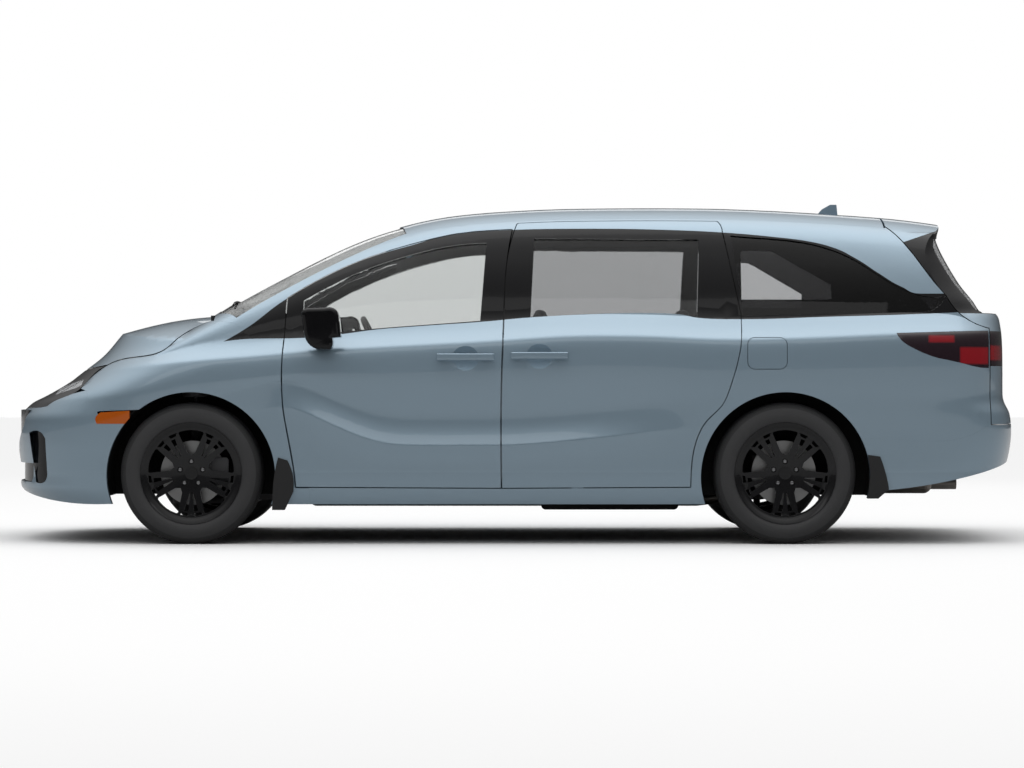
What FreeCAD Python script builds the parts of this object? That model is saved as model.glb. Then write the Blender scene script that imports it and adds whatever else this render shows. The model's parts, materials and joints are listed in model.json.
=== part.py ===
"""Seven-seat minivan with sliding rear doors, built panel by panel.

Millimetres. +X points to the rear, +Y to the vehicle's right side, +Z up. The origin is on the
ground under the middle of the vehicle's length. Each piece is written to parts/NAME.step.
"""

import FreeCAD
import Part
import functools
import math
import os

V = FreeCAD.Vector

# Overall sizes of the body. Shares below are of LENGTH along X, of HEIGHT along Z and of
# half of WIDTH along Y, unless their name says otherwise.
LENGTH = 5213.0
WIDTH = 1994.0
HEIGHT = 1738.0

# Wheels, axles and arches
WHEELBASE = 3000.0
FRONT_OVERHANG = 986.0
TRACK = 1709.0
TYRE_RADIUS = 358.0
TYRE_WIDTH = 235.0
RIM_RADIUS = 241.0
ARCH_RADIUS = 427.0
ARCH_DROP = 17.0

# Wall thicknesses and gaps
SKIN = 30.0
DOOR_WALL = 90.0
DOOR_FRAME = 45.0
SEAL_SPACE = 15.0
BODY_WALL = 150.0
BODY_FRAME = 90.0
FLANGE = 50.0
PANEL_GAP = 5.0
FENDER_DOOR_GAP = 7.0
SEAT = 0.3
GLASS_SET_BACK = 6.0
GLASS_THICKNESS = 5.0
GLASS_CLEARANCE = 0.3
OVERRUN = 200.0
OFFSET_DEFLECTION = 0.8
CHAIN_share = 0.5
CLOSE = 1.0
SLIVER_SIZE = 8.0
ALONG_share = 0.9

HALF_LENGTH = LENGTH / 2
HALF_WIDTH = WIDTH / 2
FRONT_AXLE_X = -HALF_LENGTH + FRONT_OVERHANG
REAR_AXLE_X = FRONT_AXLE_X + WHEELBASE
WHEEL_Y = TRACK / 2

# Half width of the lower body against height. Each row gives its level, its width, how far
# it follows the shoulder line and the crease line, and how far the crease pushes it out.
SIDE_PROFILE_shares = (
    (0.086, 0.920, 0.0, 0.0, 0.0), (0.104, 0.940, 0.0, 0.0, 0.0),
    (0.122, 0.953, 0.0, 0.0, 0.0), (0.140, 0.961, 0.0, 0.0, 0.0),
    (0.158, 0.966, 0.0, 0.0, 0.0), (0.176, 0.970, 0.0, 0.0, 0.0),
    (0.192, 0.974, 0.0, 0.0, 0.0), (0.2025, 0.9775, 0.0, 0.0, 0.0),
    (0.208, 0.981, 0.0, 0.0, 0.0), (0.2125, 0.9818, 0.0, 0.0, 0.0),
    (0.225, 0.9818, 0.0, 0.1, 0.0), (0.245, 0.982, 0.0, 0.45, 0.0010),
    (0.262, 0.983, 0.0, 0.8, 0.0040), (0.275, 0.984, 0.0, 1.0, 0.0080),
    (0.282, 0.9845, 0.0, 1.0, 0.0102), (0.2865, 0.985, 0.0, 1.0, 0.0102),
    (0.292, 0.985, 0.0, 1.0, 0.0075), (0.306, 0.986, 0.0, 1.0, 0.0005),
    (0.324, 0.987, 0.0, 1.0, -0.0070), (0.343, 0.988, 0.0, 1.0, -0.0125),
    (0.362, 0.989, 0.0, 0.95, -0.0150), (0.382, 0.990, 0.05, 0.80, -0.0140),
    (0.408, 0.992, 0.15, 0.62, -0.0105), (0.437, 0.994, 0.3, 0.45, -0.0060),
    (0.466, 0.996, 0.5, 0.30, -0.0020), (0.495, 0.9965, 0.7, 0.15, 0.0),
    (0.522, 0.996, 0.85, 0.0, 0.0), (0.546, 0.994, 0.95, 0.0, 0.0),
    (0.563, 0.991, 1.0, 0.0, 0.0), (0.573, 0.988, 1.0, 0.0, 0.0),
    (0.579, 0.985, 1.0, 0.0, 0.0), (0.584, 0.979, 1.0, 0.0, 0.0),
    (0.590, 0.969, 1.0, 0.0, 0.0), (0.603, 0.944, 1.0, 0.0, 0.0),
    (0.620, 0.917, 1.0, 0.0, 0.0), (0.640, 0.892, 0.9, 0.0, 0.0),
    (0.665, 0.862, 0.5, 0.0, 0.0), (0.719, 0.792, 0.0, 0.0, 0.0),
)
SHOULDER_LINE_shares = (
    (-0.4796, 0.478), (-0.4028, 0.509), (-0.3261, 0.532), (-0.2532, 0.548), (-0.1861, 0.566),
    (-0.1199, 0.577), (-0.0307, 0.591), (0.0767, 0.609), (0.1228, 0.608), (0.2110, 0.598),
    (0.2686, 0.601), (0.3760, 0.614), (0.4535, 0.620),
)
SHOULDER_LEVEL_share = 0.584
NOSE_LINE_shares = (
    (0.086, -0.4777), (0.132, -0.4892), (0.161, -0.4984), (0.196, -0.4965), (0.242, -0.4985),
    (0.305, -0.5005), (0.357, -0.4998), (0.426, -0.4888), (0.469, -0.4830), (0.518, -0.4681),
    (0.575, -0.4412), (0.719, -0.3645),
)
TAIL_LINE_shares = (
    (0.086, 0.4661), (0.144, 0.4738), (0.190, 0.4872), (0.230, 0.4968), (0.265, 0.5005),
    (0.322, 0.4985), (0.345, 0.4940), (0.374, 0.4917), (0.518, 0.4915), (0.595, 0.4903),
    (0.628, 0.4894), (0.657, 0.4851), (0.719, 0.4757),
)
NOSE_CORNER_share = 0.144
TAIL_CORNER_share = 0.098
NOSE_POWER = 2.6
TAIL_POWER = 3.4
NOSE_STEPS = 10
SIDE_STEPS = 32
TAIL_STEPS = 8
INNER_NET_STEP = 2

# The sweeping crease along the doors: its lower edge, its level at rest and its strength
CREASE_LINE_shares = (
    (-0.4000, 0.285), (-0.3300, 0.305), (-0.2700, 0.368), (-0.2193, 0.404), (-0.1855, 0.363),
    (-0.1565, 0.323), (-0.1372, 0.302), (-0.1082, 0.286), (-0.0115, 0.287), (0.0850, 0.309),
    (0.1721, 0.338), (0.2600, 0.345),
)
CREASE_LEVEL_share = 0.285
CREASE_STRENGTH_shares = (
    (-0.2302, 0.0), (-0.1950, 0.85), (-0.1700, 1.0), (0.0300, 1.0), (0.1822, 0.0),
)

# Bonnet centreline, and how its height falls away to the sides
BONNET_LINE_shares = (
    (-0.5026, 0.426), (-0.4842, 0.469), (-0.4719, 0.506), (-0.4636, 0.527), (-0.4483, 0.558),
    (-0.4328, 0.579), (-0.4174, 0.598), (-0.3867, 0.625), (-0.3558, 0.650), (-0.3251, 0.666),
    (-0.2877, 0.674), (-0.2494, 0.674), (0.5179, 0.674),
)
BONNET_FALL_shares = (
    (-0.5026, 0.075), (-0.4028, 0.105), (-0.3261, 0.125), (-0.2494, 0.060), (-0.2000, 0.0),
    (0.5179, 0.0),
)
BONNET_FALL_POWER = 2.8
BONNET_STATIONS = 28
BONNET_ROWS = 17
BONNET_STEP_POWER = 1.6
BONNET_REACH_share = 1.05

# Greenhouse: roof centreline, side lean, roof rounding and rear face
ROOF_LINE_shares = (
    (-0.3645, 0.555), (-0.2945, 0.681), (-0.2636, 0.734), (-0.2175, 0.809), (-0.1713, 0.879),
    (-0.1406, 0.917), (-0.1097, 0.945), (-0.0790, 0.967), (-0.0481, 0.980), (0.0000, 0.991),
    (0.0575, 0.998), (0.1343, 1.000), (0.1918, 0.999), (0.2595, 0.992), (0.3261, 0.980),
    (0.3837, 0.967), (0.4287, 0.949), (0.5179, 0.900),
)
LEAN_shares = (
    (0.460, 0.912), (0.600, 0.896), (0.639, 0.887), (0.690, 0.871), (0.748, 0.850),
    (0.806, 0.827), (0.863, 0.806), (0.921, 0.799), (1.000, 0.797),
)
GREENHOUSE_BASE_share = 0.489
ROOF_ROUND_POWER = 8.0
ROOF_SIDE_POWER = 4.0
ROOF_CROWN_share = 0.012
SIDE_ROWS_shares = (
    0.0, 0.1, 0.2, 0.3, 0.4, 0.5, 0.59, 0.67, 0.74, 0.80, 0.85, 0.89, 0.925, 0.955, 0.975,
)
CROWN_ROWS_shares = (0.58, 0.46, 0.34, 0.22, 0.11)
GREENHOUSE_FRONT_share = -0.345
GREENHOUSE_STATIONS = 34
REAR_FACE_shares = (
    (0.489, 0.4895), (0.600, 0.4893), (0.645, 0.4870), (0.668, 0.4760), (0.679, 0.4710),
    (0.707, 0.4655), (0.756, 0.4525), (0.827, 0.4385), (0.880, 0.4300), (0.905, 0.4275),
    (0.922, 0.4300), (0.936, 0.4306), (0.948, 0.4270), (0.970, 0.4200), (1.035, 0.4050),
)
REAR_BOW_share = 0.017
REAR_ROUND_share = 0.019
REAR_BOW_POWER = 2.5
REAR_ROUND_POWER = 12.0
REAR_FACE_LEVELS = 40
REAR_FACE_ROWS = 25
REAR_FACE_REACH_share = 1.12
REAR_ROUND_LIMIT_share = 0.05

# Side view outlines. Each is a closed loop of runs, and a run of three or more points is a curve.
FRONT_DOOR_shares = (
    ((-0.0109, 0.164), (-0.2089, 0.167)),
    ((-0.2089, 0.167), (-0.2166, 0.320), (-0.2210, 0.400), (-0.2221, 0.493), (-0.2208, 0.600),
     (-0.2187, 0.716)),
    ((-0.2187, 0.716), (-0.1807, 0.783), (-0.1397, 0.837), (-0.0994, 0.875), (-0.0767, 0.893),
     (-0.0543, 0.907), (-0.0205, 0.917), (-0.0002, 0.920)),
    ((-0.0002, 0.920), (-0.0033, 0.871), (-0.0088, 0.654), (-0.0109, 0.466), (-0.0109, 0.164)),
)
SLIDING_DOOR_shares = (
    ((0.1726, 0.167), (-0.0094, 0.164)),
    ((-0.0094, 0.164), (-0.0094, 0.466), (-0.0073, 0.654), (-0.0017, 0.871), (0.0050, 0.936)),
    ((0.0050, 0.936), (0.0120, 0.950), (0.0250, 0.953)),
    ((0.0250, 0.953), (0.1960, 0.953)),
    ((0.1960, 0.953), (0.2025, 0.943), (0.2060, 0.913)),
    ((0.2060, 0.913), (0.2225, 0.667)),
    ((0.2225, 0.667), (0.2222, 0.620), (0.2200, 0.560), (0.2102, 0.453), (0.2030, 0.405),
     (0.1882, 0.360), (0.1792, 0.313), (0.1740, 0.250), (0.1726, 0.167)),
)
FRONT_GLASS_shares = (
    ((-0.2030, 0.611), (-0.1669, 0.617), (-0.1327, 0.627), (-0.0894, 0.637), (-0.0310, 0.650)),
    ((-0.0310, 0.650), (-0.0250, 0.880)),
    ((-0.0250, 0.880), (-0.0543, 0.874), (-0.0767, 0.862), (-0.0994, 0.845), (-0.1397, 0.805),
     (-0.1807, 0.749), (-0.2030, 0.711)),
    ((-0.2030, 0.711), (-0.2030, 0.611)),
)
SLIDING_GLASS_shares = (
    ((0.0180, 0.661), (0.0777, 0.670), (0.1331, 0.673), (0.1623, 0.669), (0.1800, 0.661)),
    ((0.1800, 0.661), (0.1830, 0.890)),
    ((0.1830, 0.890), (0.0220, 0.893)),
    ((0.0220, 0.893), (0.0180, 0.661)),
)
QUARTER_GLASS_shares = (
    ((0.2250, 0.664), (0.3110, 0.670), (0.3769, 0.675), (0.4080, 0.679)),
    ((0.4080, 0.679), (0.4180, 0.700), (0.4240, 0.722)),
    ((0.4240, 0.722), (0.3990, 0.724), (0.3808, 0.744), (0.3583, 0.784), (0.3361, 0.828),
     (0.3131, 0.860), (0.2893, 0.880), (0.2563, 0.893), (0.2140, 0.903)),
    ((0.2140, 0.903), (0.2250, 0.664)),
)
FENDER_shares = (
    ((-0.2100, 0.112), (-0.3500, 0.112)),
    ((-0.3500, 0.112), (-0.3500, 0.3920)),
    ((-0.3500, 0.3920), (-0.3980, 0.3870)),
    ((-0.3980, 0.3870), (-0.4047, 0.3840)),
    ((-0.4047, 0.3840), (-0.4134, 0.4450)),
    ((-0.4134, 0.4450), (-0.4205, 0.4520)),
    ((-0.4205, 0.4520), (-0.4120, 0.4850), (-0.3970, 0.5200)),
    ((-0.3970, 0.5200), (-0.3674, 0.5430), (-0.3383, 0.5640), (-0.3272, 0.5940),
     (-0.3135, 0.6270), (-0.2936, 0.6510)),
    ((-0.2936, 0.6510), (-0.2700, 0.6440)),
    ((-0.2700, 0.6440), (-0.2598, 0.6180), (-0.2520, 0.5950)),
    ((-0.2520, 0.5950), (-0.2100, 0.5950)),
    ((-0.2100, 0.5950), (-0.1950, 0.1120)),
    ((-0.1950, 0.1120), (-0.2100, 0.1120)),
)
BONNET_shares = (
    ((-0.5200, 0.4712), (-0.4823, 0.4742)),
    ((-0.4823, 0.4742), (-0.4650, 0.4925)),
    ((-0.4650, 0.4925), (-0.4462, 0.5015), (-0.4200, 0.5125), (-0.3970, 0.5230)),
    ((-0.3970, 0.5230), (-0.3674, 0.5460), (-0.3388, 0.5670), (-0.3277, 0.5965),
     (-0.3141, 0.6295), (-0.2940, 0.6540)),
    ((-0.2940, 0.6540), (-0.2700, 0.7600)),
    ((-0.2700, 0.7600), (-0.5200, 0.7600)),
    ((-0.5200, 0.7600), (-0.5200, 0.4712)),
)
HEADLAMP_shares = (
    ((-0.5200, 0.3880), (-0.4636, 0.3960)),
    ((-0.4636, 0.3960), (-0.4560, 0.4000)),
    ((-0.4560, 0.4000), (-0.4372, 0.4280), (-0.4226, 0.4490), (-0.4136, 0.4830),
     (-0.3985, 0.5185)),
    ((-0.3985, 0.5185), (-0.4200, 0.5095), (-0.4462, 0.4985), (-0.4650, 0.4895)),
    ((-0.4650, 0.4895), (-0.4823, 0.4712)),
    ((-0.4823, 0.4712), (-0.5200, 0.4682)),
    ((-0.5200, 0.4682), (-0.5200, 0.3880)),
)
BUMPER_FRONT_shares = (
    ((-0.5200, 0.0600), (-0.3700, 0.0600)),
    ((-0.3700, 0.0600), (-0.3700, 0.3550)),
    ((-0.3700, 0.3550), (-0.4000, 0.3700)),
    ((-0.4000, 0.3700), (-0.4100, 0.4500)),
    ((-0.4100, 0.4500), (-0.4540, 0.4200)),
    ((-0.4540, 0.4200), (-0.5200, 0.4000)),
    ((-0.5200, 0.4000), (-0.5200, 0.0600)),
)
MARKER_shares = (
    ((-0.3700, 0.3500), (-0.4021, 0.3500)),
    ((-0.4021, 0.3500), (-0.4035, 0.3640), (-0.3980, 0.3830)),
    ((-0.3980, 0.3830), (-0.3700, 0.3880)),
    ((-0.3700, 0.3880), (-0.3700, 0.3500)),
)
BUMPER_REAR_shares = (
    ((0.3300, 0.0600), (0.5200, 0.0600)),
    ((0.5200, 0.0600), (0.5200, 0.3450)),
    ((0.5200, 0.3450), (0.4600, 0.3420)),
    ((0.4600, 0.3420), (0.4300, 0.3050), (0.3900, 0.3010), (0.3300, 0.3010)),
    ((0.3300, 0.3010), (0.3300, 0.0600)),
)
TAIL_LAMP_shares = (
    ((0.3721, 0.6130), (0.4122, 0.6165), (0.4640, 0.6210)),
    ((0.4640, 0.6210), (0.4640, 0.5130)),
    ((0.4640, 0.5130), (0.4544, 0.5140), (0.4322, 0.5290), (0.4055, 0.5470), (0.3900, 0.5670),
     (0.3765, 0.5930), (0.3721, 0.6130)),
)
TAILGATE_shares = (
    ((0.3685, 1.1000), (0.3685, 0.9330)),
    ((0.3685, 0.9330), (0.3830, 0.8880), (0.4020, 0.8080), (0.4235, 0.7250)),
    ((0.4235, 0.7250), (0.4370, 0.6700), (0.4660, 0.6300)),
    ((0.4660, 0.6300), (0.4660, 0.3480)),
    ((0.4660, 0.3480), (0.5400, 0.3510)),
    ((0.5400, 0.3510), (0.5400, 1.1000)),
    ((0.5400, 1.1000), (0.3685, 1.1000)),
)
UNDERSIDE_shares = (
    ((-0.5400, 0.1900), (-0.4985, 0.1560)),
    ((-0.4985, 0.1560), (-0.4700, 0.1340), (-0.4330, 0.1180), (-0.3925, 0.1160)),
    ((-0.3925, 0.1160), (0.3300, 0.1160)),
    ((0.3300, 0.1160), (0.3624, 0.1570)),
    ((0.3624, 0.1570), (0.3890, 0.1660), (0.4333, 0.1900), (0.4700, 0.2180), (0.5400, 0.2900)),
    ((0.5400, 0.2900), (0.5400, 0.0200)),
    ((0.5400, 0.0200), (-0.5400, 0.0200)),
    ((-0.5400, 0.0200), (-0.5400, 0.1900)),
)

# Plan view outlines. Shares of LENGTH along X and of half of WIDTH along Y, right half only.
WINDSHIELD_PLAN_shares = (
    ((-0.2985, 0.0), (-0.2960, 0.40), (-0.2870, 0.70), (-0.2686, 0.855)),
    ((-0.2686, 0.855), (-0.2221, 0.792), (-0.1397, 0.692), (-0.1040, 0.640)),
    ((-0.1040, 0.640), (-0.1115, 0.35), (-0.1150, 0.0)),
)
WINDSHIELD_LOW_share = 0.55
BONNET_REAR_shares = ((-0.3025, 0.0), (-0.3005, 0.40), (-0.2950, 0.80), (-0.2925, 0.95))
BONNET_CUT_LOW_share = 0.3

# Roof panel between the side rails, and the fin on it in the side view
ROOF_EDGE_share = 0.655
ROOF_FRONT_share = -0.115
ROOF_REAR_share = 0.3665
ROOF_LOW_share = 0.8
FIN_shares = (
    (0.3050, 0.960), (0.3180, 1.003), (0.3260, 1.0165), (0.3325, 1.0165), (0.3345, 0.960),
)
FIN_THICKNESS = 26.0

# Reaches of the cutters across the vehicle, as shares of WIDTH
CUT_NEAR_share = -0.56
CUT_MARGIN_share = 0.02
CUT_DEEP_share = -0.30
CUT_MIDDLE_share = -0.20

# Tailgate, its rear window in the end view, spoiler, plate pad and lamps
REAR_GLASS_shares = (
    (0.0, 0.905), (0.40, 0.9025), (0.66, 0.893), (0.705, 0.870), (0.735, 0.790), (0.755, 0.700),
    (0.745, 0.684), (0.60, 0.678), (0.0, 0.676),
)
REAR_GLASS_START_share = 0.40
REAR_GLASS_DEPTH_share = 0.12
TAILGATE_WALL = 60.0
TAILGATE_EDGE_share = 0.466
SPOILER_BOTTOM_share = 0.915
PLATE_PAD_X = 2540.0
PLATE_PAD_DEPTH = 28.0
PLATE_PAD_LENGTH = 260.0
PLATE_PAD_HEIGHT = 55.0
PLATE_PAD_LEVEL = 772.5
PLATE_PAD_ROUND = 8.0
PLATE_BOLT_SPACING = 177.8
PLATE_BOLT_RADIUS = 3.0
PLATE_BOLT_DEPTH = 30.0
GATE_LAMP_SIDE_share = 0.50
GATE_LAMP_LEVELS_shares = (0.518, 0.6205)
BUFFER_RADIUS = 10.0
BUFFER_X = 2395.0
BUFFER_Y = 835.0
BUFFER_LEVELS_shares = (0.403, 0.495)

# Fuel lid, as front, rear, lower and upper edge, with its pocket and buffer
FUEL_LID_shares = (0.2281, 0.2657, 0.5092, 0.5996)
FUEL_LID_CORNER = 35.0
FUEL_LID_GAP = 3.0
FUEL_LID_THICKNESS = 12.0
FUEL_POCKET_DEPTH = 60.0
FUEL_LID_REACH_share = 0.80
LID_BUFFER_RADIUS = 9.0
LID_BUFFER_X = 60.0
LID_BUFFER_Y = 880.0

# Lamps and grille
LAMP_DEPTH = 60.0
TAIL_LAMP_GAP = 1.2
GRILLE_HALF_share = 0.435
# Front intake and grille in the end view, upper and lower, and the side slots in the side view
GRILLE_OPENING_shares = ((0.0, 0.388), (0.62, 0.388), (0.60, 0.345), (0.40, 0.268), (0.0, 0.268))
INTAKE_OPENING_shares = ((0.0, 0.232), (0.70, 0.232), (0.66, 0.176), (0.0, 0.176))
OPENING_FRONT_share = -0.55
OPENING_BACK_share = -0.40
SLOT_shares = (
    ((-0.4755, 0.3220), (-0.4620, 0.3250), (-0.4560, 0.3050)),
    ((-0.4560, 0.3050), (-0.4545, 0.2000)),
    ((-0.4545, 0.2000), (-0.4580, 0.1780), (-0.4680, 0.1760)),
    ((-0.4680, 0.1760), (-0.4755, 0.3220)),
)
INSERT_SET_BACK = 17.0
INSERT_THICKNESS = 12.0
INSERT_LEVELS_shares = (0.330, 0.204, 0.250, 0.250)
GRILLE_BARS = 5
BAR_share = 0.55
BAR_ENDS_shares = (0.02, 0.36)

# Mud flaps and mirrors in the side view
FLAP_OUTER_share = 0.990
FLAP_INNER_share = 0.80
FRONT_FLAP_shares = (
    ((-0.2320, 0.1000), (-0.2310, 0.1750)),
    ((-0.2310, 0.1750), (-0.2290, 0.2150), (-0.2262, 0.2520)),
    ((-0.2262, 0.2520), (-0.2172, 0.2440)),
    ((-0.2172, 0.2440), (-0.2122, 0.2050), (-0.2117, 0.1520)),
    ((-0.2117, 0.1520), (-0.2200, 0.1000)),
    ((-0.2200, 0.1000), (-0.2320, 0.1000)),
)
REAR_FLAP_shares = (
    ((0.3440, 0.1330), (0.3465, 0.2050)),
    ((0.3465, 0.2050), (0.3455, 0.2350), (0.3440, 0.2600)),
    ((0.3440, 0.2600), (0.3560, 0.2550)),
    ((0.3560, 0.2550), (0.3610, 0.2100), (0.3645, 0.1600)),
    ((0.3645, 0.1600), (0.3540, 0.1330)),
    ((0.3540, 0.1330), (0.3440, 0.1330)),
)
MIRROR_shares = (
    ((-0.1640, 0.600), (-0.1660, 0.655)),
    ((-0.1660, 0.655), (-0.1700, 0.682), (-0.1800, 0.685)),
    ((-0.1800, 0.685), (-0.1960, 0.684)),
    ((-0.1960, 0.684), (-0.2010, 0.676), (-0.2015, 0.655)),
    ((-0.2015, 0.655), (-0.1995, 0.612)),
    ((-0.1995, 0.612), (-0.1930, 0.575), (-0.1870, 0.566)),
    ((-0.1870, 0.566), (-0.1745, 0.564)),
    ((-0.1745, 0.564), (-0.1722, 0.575), (-0.1725, 0.598)),
    ((-0.1725, 0.598), (-0.1640, 0.600)),
)
MIRROR_INNER_share = 1.005
MIRROR_OUTER_share = 1.135
MIRROR_ROUND = 20.0
MIRROR_ARM_X_shares = (-0.1900, -0.1760)
MIRROR_ARM_Y_shares = (-1.078, -0.90)
MIRROR_ARM_LEVELS_shares = (0.567, 0.592)

# Body sides: reach, corner under the windscreen, and the pads that the doors rest on
SIDE_FRONT_share = -0.2915
SIDE_REAR_share = 0.51
SIDE_LOW_share = 0.1
FENDER_SPACE_shares = (-0.4, -0.2245, 0.595)
ROOF_GAP_FRONT_share = -0.12
ROOF_REAR_GAP = 10.0
DOOR_PAD_X = 300.0
DOOR_PAD_LENGTH = 60.0
DOOR_PAD_Y = 960.0
DOOR_PAD_WIDTH = 40.0
DOOR_PAD_HEIGHT = 25.0

# Cabin floor, raised rear floor over the axle, and luggage well
FLOOR_LEVEL = 225.0
FLOOR_THICKNESS = 37.0
FLOOR_FRONT = 1060.0
CABIN_FLOOR_END = 900.0
FLOOR_HALF_WIDTH = 940.0
PANEL_OVERLAP = 30.0
RAISED_FLOOR_LOW = 440.0
RAISED_FLOOR_THICKNESS = 30.0
RAISED_FLOOR_END = 1905.0
RAISED_FLOOR_HALF_WIDTH = 605.0
WELL_LEVEL = 330.0
WELL_END = 2380.0
WEB_OVERLAP = 7.0

# Front structure: bulkhead, cowl tray, rails, strut plates, posts, crossbeam and carriers
BULKHEAD_X = -1130.0
BULKHEAD_THICKNESS = 30.0
BULKHEAD_HALF_WIDTH = 785.0
BULKHEAD_LOW = 215.0
BULKHEAD_HIGH = 1000.0
BULKHEAD_FOOT_HALF_WIDTH = 760.0
TRAY_FRONT = 1500.0
TRAY_HALF_WIDTH = 740.0
TRAY_THICKNESS = 15.0
RAIL_Y = 435.0
RAIL_WIDTH = 70.0
RAIL_LOW = 470.0
RAIL_HIGH = 560.0
CROSSBEAM_X = -2485.0
CROSSBEAM_DEPTH = 40.0
RAIL_START = -2470.0
STRUT_PLATE_Y = 600.0
STRUT_PLATE_WIDTH = 180.0
STRUT_PLATE_FRONT = 100.0
STRUT_PLATE_THICKNESS = 21.7
STRUT_BRACE_Y = 700.0
STRUT_BRACE_WIDTH = 80.0
STRUT_BRACE_X = -1540.0
STRUT_BRACE_HEIGHT = 59.7
FRONT_POST_Y = 200.0
FRONT_POST_WIDTH = 40.0
FRONT_POST_LOW = 540.0
FRONT_POST_HIGH = 690.0
BONNET_POST_X = -2120.0
BONNET_POST_DEPTH = 28.0
BONNET_POST_Y = 440.0
BONNET_POST_LOW = 550.0
BUMPER_BEAM_X = -2620.0
BUMPER_BEAM_REAR = -2495.0
BUMPER_BEAM_HALF_WIDTH = 400.0
BUMPER_BEAM_LOW = 480.0
BUMPER_BEAM_HIGH = 550.0
LAMP_CARRIER_HALF_WIDTH = 500.0
LAMP_CARRIER_LOW = 688.0
LAMP_CARRIER_HIGH = 740.0

# Engine, fuel tank and exhaust
ENGINE_X = (-2080.0, -1425.0)
ENGINE_HALF_WIDTH = 420.0
ENGINE_HIGH = 900.0
ENGINE_ROUND = 40.0
TANK_X = (150.0, 860.0)
TANK_Y = (-600.0, -120.0)
TANK_LOW = 160.0
TANK_ROUND = 25.0
PIPE_RADIUS = 32.0
PIPE_Y = 250.0
PIPE_LEVEL = 180.0
PIPE_START = -1060.0
PIPE_BEND = 1000.0
PIPE_END = (1900.0, 420.0, 285.0)
PIPE_HANGER_X = -900.0
HANGER_LENGTH = 40.0
HANGER_WIDTH = 30.0
MUFFLER_X = (1890.0, 2280.0)
MUFFLER_Y = (240.0, 700.0)
MUFFLER_Z = (215.0, 322.0)
MUFFLER_ROUND = 45.0
TAILPIPE_Y = 560.0
TAILPIPE_LEVEL = 262.0
TAILPIPE_RADIUS = 34.0
TAILPIPE_END = 2450.0
MUFFLER_HANGER_X = 2050.0
MUFFLER_HANGER_Y = 400.0
MUFFLER_HANGER_LOW = 300.0

# Seats: places of the single seats, cushions, backs, headrests and feet
SINGLE_SEAT_Y = 390.0
FRONT_SEAT_X = -330.0
SECOND_SEAT_X = 410.0
SEAT_LEVEL = 330.0
CUSHION_FRONT = 260.0
CUSHION_REAR = 250.0
CUSHION_WIDTH = 520.0
CUSHION_HEIGHT = 150.0
CUSHION_ROUND = 45.0
BACK_START = 200.0
BACK_THICKNESS = 130.0
BACK_WIDTH = 500.0
BACK_LOW = 90.0
BACK_HEIGHT = 590.0
BACK_LEAN = 18.0
BACK_PIVOT = 230.0
HEADREST_START = 420.0
HEADREST_THICKNESS = 100.0
HEADREST_WIDTH = 260.0
HEADREST_LOW = 690.0
HEADREST_HEIGHT = 190.0
HEADREST_ROUND = 40.0
POST_RADIUS = 12.0
POST_FOOT = (440.0, 600.0)
POST_HEAD = (470.0, 760.0)
SEAT_FOOT_HALF_LENGTH = 220.0
SEAT_FOOT_WIDTH = 420.0
SEAT_FOOT_OVERLAP = 40.0

# Rear bench over the raised floor
BENCH_HALF_WIDTH = 590.0
BENCH_X = (1150.0, 1640.0)
BENCH_HIGH = 640.0
BENCH_BACK_X = (1600.0, 1720.0)
BENCH_BACK_Z = (600.0, 1120.0)
BENCH_BACK_LEAN = 14.0
BENCH_REST_X = (1768.0, 1850.0)
BENCH_REST_Z = (1130.0, 1290.0)
BENCH_REST_WIDTH = 220.0
BENCH_REST_SPACING = 400.0
BENCH_REST_ROUND = 34.0
BENCH_POST_FOOT = (1770.0, 1060.0)
BENCH_POST_HEAD = (1806.0, 1190.0)

# Dashboard, console and steering wheel
DASH_HALF_WIDTH = 720.0
DASH_LOW = 700.0
DASH_HIGH = 984.0
DASH_KNEE = (-870.0, 720.0)
DASH_LIP = (-800.0, 860.0)
DASH_TOP_X = -850.0
CONSOLE_X = (-1090.0, -300.0)
CONSOLE_HALF_WIDTH = 120.0
CONSOLE_HIGH = 690.0
CONSOLE_ROUND = 40.0
WHEEL_RING_RADIUS = 180.0
WHEEL_GRIP_RADIUS = 15.0
WHEEL_HUB_RADIUS = 62.0
WHEEL_HUB_DEPTH = 40.0
WHEEL_HUB_DROP = 30.0
WHEEL_SPOKE_RADIUS = 12.0
WHEEL_SPOKE_DROP = 8.0
WHEEL_SPOKE_TURNS = (0, 180, 270)
COLUMN_RADIUS = 24.0
COLUMN_LENGTH = 140.0
COLUMN_DROP = 165.0
COLUMN_END_GAP = 3.0
WHEEL_PLACE = (-700.0, 985.0)
WHEEL_TILT = 65.0

# Front door hinges: axis place, levels, arms, pins and the pockets that take them
HINGE_X = -1120.0
HINGE_Y = 975.0
HINGE_LEVELS_shares = (0.390, 0.510)
HINGE_ARM_WIDTH = 10.0
HINGE_ARM_LENGTH = 115.0
HINGE_ARM_HEIGHT = 40.0
HINGE_PIN_RADIUS = 3.5
HINGE_PIN_LENGTH = 66.0
HINGE_POCKET_LENGTH = 90.0
HINGE_POCKET_DEPTH = 120.0
HINGE_SLACK = 2.0
HINGE_SIDE_SLACK = 1.5

# Door handles on their feet, over a finger cup; centres on the doors
HANDLE_CENTRE_shares = ((-0.0450, 0.5440), (0.0265, 0.5480))
HANDLE_LENGTH = 290.0
HANDLE_HEIGHT = 34.0
HANDLE_THICKNESS = 14.0
HANDLE_ROUND_share = 0.4
HANDLE_STANDOFF = 38.0
HANDLE_FOOT = 46.0
HANDLE_FOOT_HEIGHT_share = 0.8
CUP_BALL_RADIUS = 120.0
CUP_DEPTH = 20.0

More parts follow.
